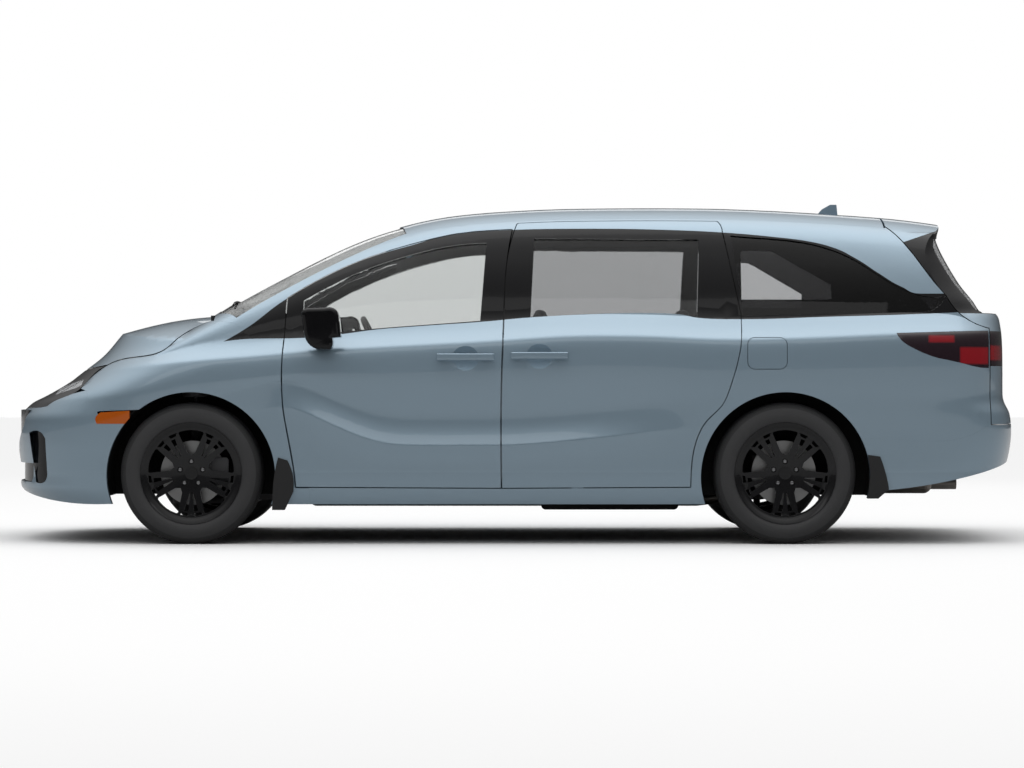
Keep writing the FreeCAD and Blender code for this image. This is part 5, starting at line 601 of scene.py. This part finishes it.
class MINIVAN_OT_glazing(bpy.types.Operator):
    """Tints the windows, and frames the fixed rear quarter panes in black"""

    bl_idname = "minivan.glazing"
    bl_label = "Glazing"

    def glass(self, name, tint):
        return plain_material(name, tint, 0.02, Transmission_Weight=1.0, IOR=1.35)

    def execute(self, context):
        clear = self.glass("Tinted Glass", (0.74, 0.755, 0.75))
        privacy = self.glass("Privacy Glass", (0.54, 0.545, 0.55))
        for node in CLEAR_GLASS:
            smooth_copy(node, node + "_pane", (clear,))
        for node in PRIVACY_GLASS:
            smooth_copy(node, node + "_pane", (privacy,))
        quarter = self.glass("Quarter Glass", (0.3, 0.3, 0.3))
        tree = quarter.node_tree
        place = object_place(tree)
        pane = zone(tree, place, *QUARTER_PANE)
        corner = zone(tree, place, *QUARTER_CORNER)
        both = math_node(tree, "MULTIPLY", pane, corner)
        tint = mix_color(tree, both, (0.012, 0.012, 0.013), (0.60, 0.605, 0.61))
        tree.links.new(tint, shader_of(quarter).inputs["Base Color"])
        smooth_copy("quarter_glass", "quarter_glass_pane", (quarter,))
        return {"FINISHED"}


class MINIVAN_OT_lamps(bpy.types.Operator):
    """Fills the lamps with their chambers, markers and red lenses"""

    bl_idname = "minivan.lamps"
    bl_label = "Lamps"

    def red_lens(self, name, patches):
        """Smoked lens with red patches."""
        lens = plain_material(name, SMOKED, 0.08, Coat_Weight=1.0)
        tree = lens.node_tree
        place = object_place(tree)
        red = 0.0
        for patch in patches:
            red = math_node(tree, "MAXIMUM", red, zone(tree, place, *patch))
        color = mix_color(tree, red, SMOKED, SIGNAL_RED)
        tree.links.new(color, shader_of(lens).inputs["Base Color"])
        return lens

    def execute(self, context):
        head = plain_material("Head Lamp", (0.5, 0.5, 0.5), 0.10, Coat_Weight=0.3,
                              Specular_IOR_Level=0.25)
        tree = head.node_tree
        shader = shader_of(head)
        place = object_place(tree)
        chamber = zone(tree, place, *HEAD_CHAMBER)
        marker = zone(tree, place, *SIDE_MARKER)
        _, across, _ = split_place(tree, place)
        bay = math_node(tree, "FRACT", math_node(tree, "DIVIDE", across, LAMP_BAY))
        wall = math_node(tree, "GREATER_THAN", bay, LAMP_BAY_OPEN)
        open_bay = math_node(tree, "MULTIPLY", chamber,
                             math_node(tree, "SUBTRACT", 1.0, wall))
        color = mix_color(tree, open_bay, (0.010, 0.010, 0.011), (0.72, 0.74, 0.76))
        color = mix_color(tree, marker, color, AMBER)
        tree.links.new(color, shader.inputs["Base Color"])
        tree.links.new(math_node(tree, "MULTIPLY", open_bay, 0.8), shader.inputs["Metallic"])
        ribs = math_node(tree, "SINE", math_node(tree, "MULTIPLY", across, 700.0))
        patch = math_node(tree, "ADD", open_bay, marker, clamp=True)
        add_bump(head, math_node(tree, "MULTIPLY", ribs, patch), 0.5, 0.0015)
        smooth_copy("front_lamps", "front_lamps_lens", (head,))

        for node, name, patches in (("tail_lamps", "Tail Lamp", TAIL_PATCHES),
                                    ("gate_lamps", "Gate Lamp", GATE_PATCHES)):
            smooth_copy(node, node + "_lens", (self.red_lens(name, patches),))
        return {"FINISHED"}


class MINIVAN_OT_wheels(bpy.types.Operator):
    """Finishes tyres, rims and brakes, and fits the wheel nuts"""

    bl_idname = "minivan.wheels"
    bl_label = "Wheels"

    def execute(self, context):
        gloss = plain_material("Gloss Black Rim", (0.010, 0.010, 0.011), 0.16,
                               Coat_Weight=0.3, Specular_IOR_Level=0.25)
        add_grain(gloss, 60, 0.17, 0.08)
        steel = add_grain(plain_material("Brake Steel", (0.35, 0.35, 0.35), 0.35, 1.0),
                          200, 0.35, 0.2)
        chrome = add_grain(plain_material("Wheel Nut", (0.30, 0.30, 0.31), 0.25, 1.0), 90,
                           0.28, 0.1)
        for end, axle in AXLES:
            rubber = plain_material("Tyre Rubber " + end, (0.030, 0.030, 0.031), 0.62)
            tree = rubber.node_tree
            shift = tree.nodes.new("ShaderNodeMapping")
            shift.inputs["Location"].default_value = (-axle, 0, -AXLE_LEVEL)
            tree.links.new(object_place(tree), shift.inputs["Vector"])
            marks = place_group(tree, "Tyre Marks", Place=shift.outputs["Vector"])
            color = mix_color(tree, marks.outputs["Tone"], (0.022, 0.022, 0.023),
                              (0.044, 0.044, 0.046))
            tree.links.new(color, shader_of(rubber).inputs["Base Color"])
            add_bump(rubber, marks.outputs["Height"], 0.7, 0.0020)
            for side, sign in (("left", -1), ("right", 1)):
                tag = end + "_" + side
                smooth_copy("tyre_" + tag, "tyre_" + tag + "_rubber", (rubber,))
                smooth_copy("rim_" + tag, "rim_" + tag + "_alloy", (gloss,))
                smooth_copy("brake_disc_" + tag, "brake_disc_" + tag + "_face", (steel,))
                bm = bmesh.new()
                for step in range(NUT_COUNT):
                    turn = math.tau * step / NUT_COUNT
                    spot = Vector((axle + NUT_CIRCLE * math.sin(turn),
                                   sign * (NUT_SEAT + NUT_HEIGHT / 2 + NUT_GAP),
                                   AXLE_LEVEL + NUT_CIRCLE * math.cos(turn)))
                    nut = bmesh.ops.create_cone(
                        bm, cap_ends=True, segments=6, radius1=NUT_RADIUS,
                        radius2=NUT_TIP_RADIUS, depth=NUT_HEIGHT)
                    placing = Matrix.Translation(spot)
                    placing = placing @ Matrix.Rotation(sign * math.radians(-90), 4, "X")
                    bmesh.ops.transform(bm, matrix=placing, verts=nut["verts"])
                bmesh.ops.bevel(bm, geom=bm.edges[:], offset=NUT_EDGE, offset_type="OFFSET",
                                segments=2, affect="EDGES", profile=0.5, material=-1)
                add_piece("wheel_nuts_" + tag, bm, body_of("rim_" + tag),
                          chrome)
        return {"FINISHED"}


class MINIVAN_OT_underbody(bpy.types.Operator):
    """Finishes the running gear, the floor and the parts under the bonnet"""

    bl_idname = "minivan.underbody"
    bl_label = "Underbody"

    def execute(self, context):
        metal = add_grain(plain_material("Cast Metal", (0.10, 0.10, 0.105), 0.6, 0.6),
                          150, 0.6, 0.3, 0.4)
        felt = add_grain(plain_material("Liner Felt", (0.010, 0.010, 0.010), 0.9), 600, 0.9,
                         0.1, 0.6)
        primer = add_grain(plain_material("Dark Primer", (0.02, 0.02, 0.022), 0.55),
                           200, 0.55, 0.2, 0.1)
        carpet = add_grain(plain_material("Carpet", (0.030, 0.030, 0.032), 0.95), 1100, 0.95,
                           0.05, 0.8, 0.002)
        steel = add_grain(plain_material("Exhaust Steel", (0.28, 0.26, 0.24), 0.4, 1.0),
                          60, 0.42, 0.4)
        finish = {
            "knuckle_left": metal, "knuckle_right": metal, "front_suspension": metal,
            "rear_suspension": metal, "engine_block": metal, "wheel_liners": felt,
            "fuel_tank": felt, "floor_pan": carpet, "front_structure": primer,
            "exhaust": steel,
        }
        for node, material in finish.items():
            smooth_copy(node, node + "_finish", (material,))
        return {"FINISHED"}


def cloth_material(color, pitch):
    """Woven seat cloth, with painted shade in the grooves of its sewn channels."""
    material = plain_material("Woven Cloth", color, 0.9, Sheen_Weight=0.35)
    tree = material.node_tree
    weave = place_group(tree, "Cloth Weave", Place=object_place(tree), Pitch=pitch)
    # Painted shade: the colour goes darker along the sewn grooves that the pads mark in an
    # attribute
    seam_shade = tree.nodes.new("ShaderNodeAttribute")
    seam_shade.attribute_name = "seam_shade"
    pale = tuple(c * 1.5 for c in color)
    cloth = mix_color(tree, weave.outputs["Tone"], color, pale)
    dark = tuple(c * 0.35 for c in color)
    tree.links.new(mix_color(tree, seam_shade.outputs["Fac"], cloth, dark),
                   shader_of(material).inputs["Base Color"])
    add_bump(material, weave.outputs["Height"], 0.35, 0.0008)
    return material


def fade(value, low, high):
    """Smooth step from 0 at low to 1 at high."""
    t = min(1.0, max(0.0, (value - low) / (high - low)))
    return t * t * (3 - 2 * t)


CLOTH_FRAMES = 20
CLOTH_PRESSURE = 4
SEAM_WIDTH = 0.0045
SEAM_DEPTH = 0.006


def pad_mesh(name, size, swell=0.014, dip=0.018, bolster=0.62, voxel=0.012, rows=(0.0,)):
    """Swollen pad about its own middle, seating face up, with bolsters and sewn channels."""
    scene = bpy.context.scene
    bm = bmesh.new()
    bmesh.ops.create_cube(bm, size=1.0)
    bmesh.ops.scale(bm, vec=[s - 2 * swell for s in size], verts=bm.verts)
    bmesh.ops.bevel(bm, geom=bm.edges[:], offset=min(size) * 0.24, offset_type="OFFSET",
                    segments=5, affect="EDGES", profile=0.5, material=-1)
    half = [s / 2 for s in size]
    mesh = bpy.data.meshes.new(name)
    bm.to_mesh(mesh)
    bm.free()
    holder = bpy.data.objects.new(name, mesh)
    scene.collection.objects.link(holder)

    def bake():
        depsgraph = bpy.context.evaluated_depsgraph_get()
        holder.data = bpy.data.meshes.new_from_object(holder.evaluated_get(depsgraph))
        holder.modifiers.clear()

    remesh = holder.modifiers.new("Remesh", "REMESH")
    remesh.mode = "VOXEL"
    remesh.voxel_size = voxel
    bake()
    for vert in holder.data.vertices:
        u, v = vert.co.x / half[0], vert.co.y / half[1]
        vert.co.x *= 1 - 0.035 * (1 - min(1.0, v * v))
        vert.co.y *= 1 - 0.025 * (1 - min(1.0, u * u))
    before = [v.co.copy() for v in holder.data.vertices]
    cloth = holder.modifiers.new("Cloth", "CLOTH")
    cloth.settings.use_pressure = True
    cloth.settings.uniform_pressure_force = CLOTH_PRESSURE
    cloth.settings.effector_weights.gravity = 0
    cloth.point_cache.frame_end = CLOTH_FRAMES
    for number in range(1, CLOTH_FRAMES + 1):
        scene.frame_set(number)
    bake()
    scene.frame_set(1)
    for vert, start in zip(holder.data.vertices, before):
        moved = vert.co - start
        if moved.length > swell:
            vert.co = start + moved * (swell / moved.length)
    smooth = holder.modifiers.new("Subdivision", "SUBSURF")
    smooth.levels = smooth.render_levels = 1
    bake()
    shaped = holder.data
    # Marks the sewn grooves, where the cloth material paints shade into the colour
    seam_shade = shaped.attributes.new("seam_shade", "FLOAT", "POINT")
    for index, vert in enumerate(shaped.vertices):
        u, v = vert.co.x / half[0], vert.co.y / half[1]
        face_up = fade(vert.co.z / half[2], 0.1, 0.7)
        middle = 1 - fade(abs(v), bolster - 0.16, bolster + 0.14)
        side = (abs(v) - bolster) * half[1]
        lines = [side] + [(u - row) * half[0] for row in rows if abs(v) < bolster]
        near = math.exp(-(min(abs(d) for d in lines) / SEAM_WIDTH) ** 2) * face_up
        vert.co.z -= face_up * middle * dip + near * SEAM_DEPTH
        seam_shade.data[index].value = near
    bpy.data.objects.remove(holder)
    return shaped


def place_pad(name, mesh, place, turn, node, cloth):
    """Puts a copy of a pad at its place in the cabin."""
    data = mesh.copy()
    data.transform(Matrix.Translation(place) @ Matrix.Rotation(math.radians(turn), 4, "Y"))
    for face in data.polygons:
        face.use_smooth = True
    data.materials.clear()
    data.materials.append(cloth)
    piece = bpy.data.objects.new(name, data)
    bpy.context.scene.collection.objects.link(piece)
    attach(piece, body_of(node))
    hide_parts(node)
    return piece


def add_tube(bm, start, end, radius, segments=16):
    """Closed round bar between two points."""
    start, end = Vector(start), Vector(end)
    run = end - start
    made = bmesh.ops.create_cone(bm, cap_ends=True, segments=segments, radius1=radius,
                                 radius2=radius, depth=run.length)
    turn = run.to_track_quat("Z", "Y").to_matrix().to_4x4()
    bmesh.ops.transform(bm, matrix=Matrix.Translation((start + end) / 2) @ turn,
                        verts=made["verts"])
    return made["verts"]


def add_block(bm, low, high, radius, segments=2):
    """Box with rounded edges, added to a bmesh."""
    low, high = Vector(low), Vector(high)
    made = bmesh.ops.create_cube(bm, size=1.0)
    bmesh.ops.scale(bm, vec=high - low, verts=made["verts"])
    bmesh.ops.translate(bm, vec=(low + high) / 2, verts=made["verts"])
    edges = list({e for v in made["verts"] for e in v.link_edges})
    bmesh.ops.bevel(bm, geom=edges, offset=radius, offset_type="OFFSET", segments=segments,
                    affect="EDGES", profile=0.5, material=-1)


class MINIVAN_OT_seats(bpy.types.Operator):
    """Upholsters the four single seats and the rear bench"""

    bl_idname = "minivan.seats"
    bl_label = "Seats"

    def execute(self, context):
        settings = context.scene.minivan_paint
        cloth = cloth_material(tuple(settings.cloth), settings.weave)
        plastic = add_grain(plain_material("Base Plastic", (0.018, 0.018, 0.019), 0.6), 500, 0.6,
                            0.2, 0.3)
        cushion = pad_mesh("cushion", (0.51, 0.52, 0.150), rows=(-0.25, 0.3))
        back = pad_mesh("back", (0.59, 0.50, 0.130), rows=(-0.45, 0.1, 0.55))
        rest = pad_mesh("rest", (0.19, 0.26, 0.100), dip=0.004, bolster=0.8, rows=())
        for name, x, y, z in SEAT_PLACES:
            node = "front_seats" if x < 0 else "rear_seats"
            place_pad(name + "_cushion", cushion, (x - 0.005, y, z + 0.075), 0, node, cloth)
            place_pad(name + "_back", back, (x + 0.3545, y, z + 0.360), -72, node, cloth)
            place_pad(name + "_headrest", rest, (x + 0.470, y, z + 0.785), -84, node, cloth)
            bm = bmesh.new()
            add_block(bm, (x - 0.22, y - 0.21, 0.292), (x + 0.22, y + 0.21, z + 0.012), 0.012)
            for side in (-1, 1):
                rail = y + side * 0.18
                add_block(bm, (x - 0.22, rail - 0.02, 0.2625), (x + 0.22, rail + 0.02, 0.291),
                          0.004)
                add_tube(bm, (x + 0.440, y + side * 0.05, z + 0.600),
                         (x + 0.468, y + side * 0.05, z + 0.745), 0.006)
                add_tube(bm, (x + 0.222, y + side * 0.246, z + 0.085),
                         (x + 0.222, y + side * 0.262, z + 0.085), 0.045, 32)
            base = add_piece(name + "_seat_base", bm, body_of(node),
                             plastic, False)
            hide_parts(node)
        bench = pad_mesh("bench", (0.49, 1.18, 0.170), bolster=0.86, rows=(-0.2, 0.35))
        tall = pad_mesh("bench_back", (0.52, 1.18, 0.120), bolster=0.86, rows=(-0.4, 0.4))
        small = pad_mesh("small_rest", (0.16, 0.22, 0.082), dip=0.003, bolster=0.8, rows=())
        node = "rear_seats"
        place_pad("bench_cushion", bench, (1.395, 0, 0.555), 0, node, cloth)
        place_pad("bench_back", tall, (1.7229, 0, 0.8523), -76, node, cloth)
        bm = bmesh.new()
        add_block(bm, (1.20, -0.52, 0.4705), (1.60, 0.52, 0.486), 0.004)
        for number, y in enumerate((-0.4, 0.0, 0.4)):
            place_pad("bench_headrest_%d" % number, small, (1.809, y, 1.210), -90, node, cloth)
            for side in (-0.035, 0.035):
                add_tube(bm, (1.778, y + side, 1.080), (1.806, y + side, 1.180), 0.005)
        base = add_piece("bench_seat_base", bm, body_of(node), plastic,
                         False)
        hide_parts(node)
        return {"FINISHED"}


class MINIVAN_OT_cabin(bpy.types.Operator):
    """Finishes the dashboard and the steering wheel, and fits a dial hood and a screen"""

    bl_idname = "minivan.cabin"
    bl_label = "Cabin"

    def execute(self, context):
        soft = add_grain(plain_material("Dashboard Skin", (0.020, 0.020, 0.021), 0.65), 700,
                         0.65, 0.15, 0.5)
        leather = add_grain(plain_material("Wheel Leather", (0.016, 0.016, 0.016), 0.45), 380,
                            0.45, 0.2, 0.6)
        glassy = plain_material("Display", (0.004, 0.004, 0.005), 0.06, Coat_Weight=1.0)
        add_grain(glassy, 40, 0.06, 0.03)
        smooth_copy("dashboard", "dashboard_skin", (soft,))
        smooth_copy("steering_wheel", "steering_wheel_skin", (leather,), angle=50)
        bm = bmesh.new()
        add_block(bm, (-0.862, -0.13, 0.985), (-0.846, 0.13, 1.105), 0.006, 3)
        add_block(bm, (-0.900, -0.03, 0.975), (-0.860, 0.03, 1.000), 0.004)
        add_piece("centre_screen", bm, body_of("dashboard"),
                  glassy, False)
        bm = bmesh.new()
        add_block(bm, (-0.985, -0.56, 0.975), (-0.850, -0.22, 1.040), 0.022, 4)
        add_piece("dial_hood", bm, body_of("dashboard"), soft,
                  False)
        return {"FINISHED"}


class MINIVAN_OT_screen_trim(bpy.types.Operator):
    """Fits the cowl strip and the wipers of both screens"""

    bl_idname = "minivan.screen_trim"
    bl_label = "Cowl and Wipers"

    def execute(self, context):
        width = context.scene.minivan_paint.wiper_width
        black = add_grain(plain_material("Cowl Plastic", (0.014, 0.014, 0.014), 0.6), 800, 0.6,
                          0.15, 0.4)
        screen = surface_tree("windshield")
        body = body_of("windshield")

        # The strip runs from under the bonnet's rear edge up to the foot of the screen
        rear_edge = ((0.0, -1.577, 1.162), (0.20, -1.574, 1.162), (0.40, -1.566, 1.151),
                     (0.55, -1.559, 1.134), (0.62, -1.590, 1.117))
        foot = ((0.0, -1.493, 1.189), (0.20, -1.495, 1.186), (0.40, -1.501, 1.177),
                (0.55, -1.511, 1.162), (0.62, -1.512, 1.160))

        def along(line, y):
            y = abs(y)
            for (y0, *first), (y1, *second) in zip(line, line[1:]):
                if y <= y1:
                    t = (y - y0) / (y1 - y0)
                    return Vector([a + (b - a) * t for a, b in zip(first, second)])
            return Vector(line[-1][1:])

        bm = bmesh.new()
        bmesh.ops.create_grid(bm, x_segments=8, y_segments=48, size=0.5)
        for vert in bm.verts:
            t = vert.co.x + 0.5
            y = vert.co.y * 1.24
            low = along(rear_edge, y) + Vector((-0.018, -0.024))
            high = along(foot, y) + Vector((0.004, -0.008))
            spot = low.lerp(high, t)
            sag = 0.010 * math.sin(math.pi * t)
            vert.co = Vector((spot.x, y, spot.y - sag))
        bmesh.ops.recalc_face_normals(bm, faces=bm.faces)
        bmesh.ops.solidify(bm, geom=bm.faces[:], thickness=0.003)
        add_piece("cowl_strip", bm, body, black)

        def wiper(name, tree, pivot, blade, toward, lift, rides):
            bm = bmesh.new()
            spots = []
            for start in blade:
                point, normal = cast(tree, start, toward)
                if normal.dot(Vector(toward)) > 0:
                    normal = -normal
                spots.append(point + normal * lift)
            for first, second in zip(spots, spots[1:]):
                add_tube(bm, first, second, 0.006, 10)
            middle = spots[len(spots) // 2]
            elbow = Vector(pivot).lerp(middle, 0.3) + (middle - spots[0]).normalized() * 0.01
            add_tube(bm, pivot, elbow, width * 0.6, 12)
            add_tube(bm, elbow, middle, width * 0.4, 12)
            add_tube(bm, Vector(pivot) + Vector(toward) * 0.020,
                     Vector(pivot) - Vector(toward) * 0.012, width * 1.1, 24)
            return add_piece(name, bm, rides, black, False)

        down = (0, 0, -1)
        ys = (-0.66, -0.52, -0.38, -0.24, -0.10, 0.02)
        wiper("wiper_left", screen, (-1.538, -0.60, 1.150),
              [(-1.440 + 0.02 * abs(y), y, 2.0) for y in ys], down, 0.012, body)
        ys = (0.06, 0.20, 0.34, 0.48, 0.62)
        wiper("wiper_right", screen, (-1.535, 0.06, 1.172),
              [(-1.455 - 0.02 * abs(y), y, 2.0) for y in ys], down, 0.012, body)
        rear = surface_tree("tailgate", "tailgate_glass")
        pivot, normal = cast(rear, (3.2, 0.0, 1.185), (-1, 0, 0))
        ys = (0.02, 0.12, 0.22, 0.32, 0.42)
        wiper("wiper_rear", rear, pivot + Vector((0.014, 0, 0)),
              [(3.2, y, 1.225) for y in ys], (-1, 0, 0), 0.012, body_of("tailgate"))
        return {"FINISHED"}


FLOOR_SIZE = 60

# Share of light that the floor sends back to the vehicle
FLOOR_BOUNCE = 0.48

# Light of the surroundings: at the horizon, and how much more at the zenith
SKY_LOW = 0.05
SKY_RISE = 1.70

# Lamps: name, place, target, size and power
STUDIO_LAMPS = (
    ("Overhead", (0, 0, 6.5), (0, 0, 0), (9, 5), 60),
    ("Side Left", (-1, -9, 4.5), (0, 0, 0.8), (8, 1.5), 30),
    ("Side Right", (1, 9, 4.5), (0, 0, 0.8), (8, 1.5), 30),
)
CAMERA_PLACE = (0, -17.1, 0.809)
CAMERA_LENS = 112.43
CAMERA_SENSOR = 36.0


class MINIVAN_OT_stage(bpy.types.Operator):
    """Sets the floor, the lights and the camera"""

    bl_idname = "minivan.stage"
    bl_label = "Stage"

    def execute(self, context):
        scene = context.scene
        bm = bmesh.new()
        bmesh.ops.create_grid(bm, x_segments=1, y_segments=1, size=FLOOR_SIZE)
        mesh = bpy.data.meshes.new("floor")
        bm.to_mesh(mesh)
        bm.free()
        floor = bpy.data.objects.new("floor", mesh)
        scene.collection.objects.link(floor)
        material = plain_material("Floor", (0.8, 0.8, 0.8), 0.95)
        shader_of(material).inputs["Specular IOR Level"].default_value = 0.0
        tree = material.node_tree
        path = tree.nodes.new("ShaderNodeLightPath")
        color = mix_color(tree, path.outputs["Is Camera Ray"], (FLOOR_BOUNCE,) * 3,
                          (1.0, 1.0, 1.0))
        tree.links.new(color, shader_of(material).inputs["Base Color"])
        mesh.materials.append(material)

        world = bpy.data.worlds.new("Studio")
        scene.world = world
        world.use_nodes = True
        tree = world.node_tree
        background = next(n for n in tree.nodes if n.type == "BACKGROUND")
        background.inputs["Color"].default_value = (1, 1, 1, 1)
        split = tree.nodes.new("ShaderNodeSeparateXYZ")
        tree.links.new(tree.nodes.new("ShaderNodeTexCoord").outputs["Generated"],
                       split.inputs[0])
        height = math_node(tree, "MAXIMUM", split.outputs["Z"], 0.0)
        rise = math_node(tree, "MULTIPLY_ADD", math_node(tree, "MULTIPLY", height, height),
                         SKY_RISE, SKY_LOW)
        path = tree.nodes.new("ShaderNodeLightPath")
        seen = math_node(tree, "MAXIMUM", path.outputs["Is Camera Ray"],
                         path.outputs["Is Transmission Ray"])
        dark = math_node(tree, "MULTIPLY", rise, math_node(tree, "SUBTRACT", 1.0, seen))
        tree.links.new(math_node(tree, "ADD", dark, seen), background.inputs["Strength"])

        for name, place, target, size, power in STUDIO_LAMPS:
            data = bpy.data.lights.new(name, "AREA")
            data.shape = "RECTANGLE"
            data.size, data.size_y = size
            data.energy = power
            lamp = bpy.data.objects.new(name, data)
            scene.collection.objects.link(lamp)
            lamp.location = place
            direction = Vector(target) - Vector(place)
            lamp.rotation_euler = direction.to_track_quat("-Z", "Y").to_euler()

        camera = bpy.data.cameras.new("Camera")
        camera.lens = CAMERA_LENS
        camera.sensor_width = CAMERA_SENSOR
        camera.clip_end = 200
        holder = bpy.data.objects.new("Camera", camera)
        holder.location = CAMERA_PLACE
        holder.rotation_euler = (math.radians(90), 0, 0)
        scene.collection.objects.link(holder)
        scene.camera = holder
        scene.view_settings.view_transform = "Standard"
        return {"FINISHED"}


OPERATORS = (
    MINIVAN_OT_groups, MINIVAN_OT_paintwork, MINIVAN_OT_black_trim, MINIVAN_OT_glazing,
    MINIVAN_OT_lamps, MINIVAN_OT_wheels, MINIVAN_OT_underbody, MINIVAN_OT_seats,
    MINIVAN_OT_cabin, MINIVAN_OT_screen_trim, MINIVAN_OT_stage,
)


class MINIVAN_PT_panel(bpy.types.Panel):
    """Lists the steps that dress the minivan"""

    bl_label = "Minivan"
    bl_idname = "MINIVAN_PT_panel"
    bl_space_type = "VIEW_3D"
    bl_region_type = "UI"
    bl_category = "Minivan"

    def draw(self, context):
        settings = context.scene.minivan_paint
        for name in ("body", "flake_size", "cloth", "weave", "wiper_width"):
            self.layout.prop(settings, name)
        for operator in OPERATORS:
            self.layout.operator(operator.bl_idname)


def register():
    for cls in (MinivanPaint, *OPERATORS, MINIVAN_PT_panel):
        bpy.utils.register_class(cls)
    bpy.types.Scene.minivan_paint = bpy.props.PointerProperty(type=MinivanPaint)


def unregister():
    del bpy.types.Scene.minivan_paint
    for cls in reversed((MinivanPaint, *OPERATORS, MINIVAN_PT_panel)):
        bpy.utils.unregister_class(cls)


def main():
    register()
    for operator in OPERATORS:
        group, name = operator.bl_idname.split(".")
        getattr(getattr(bpy.ops, group), name)()


if __name__ == "__main__":
    main()
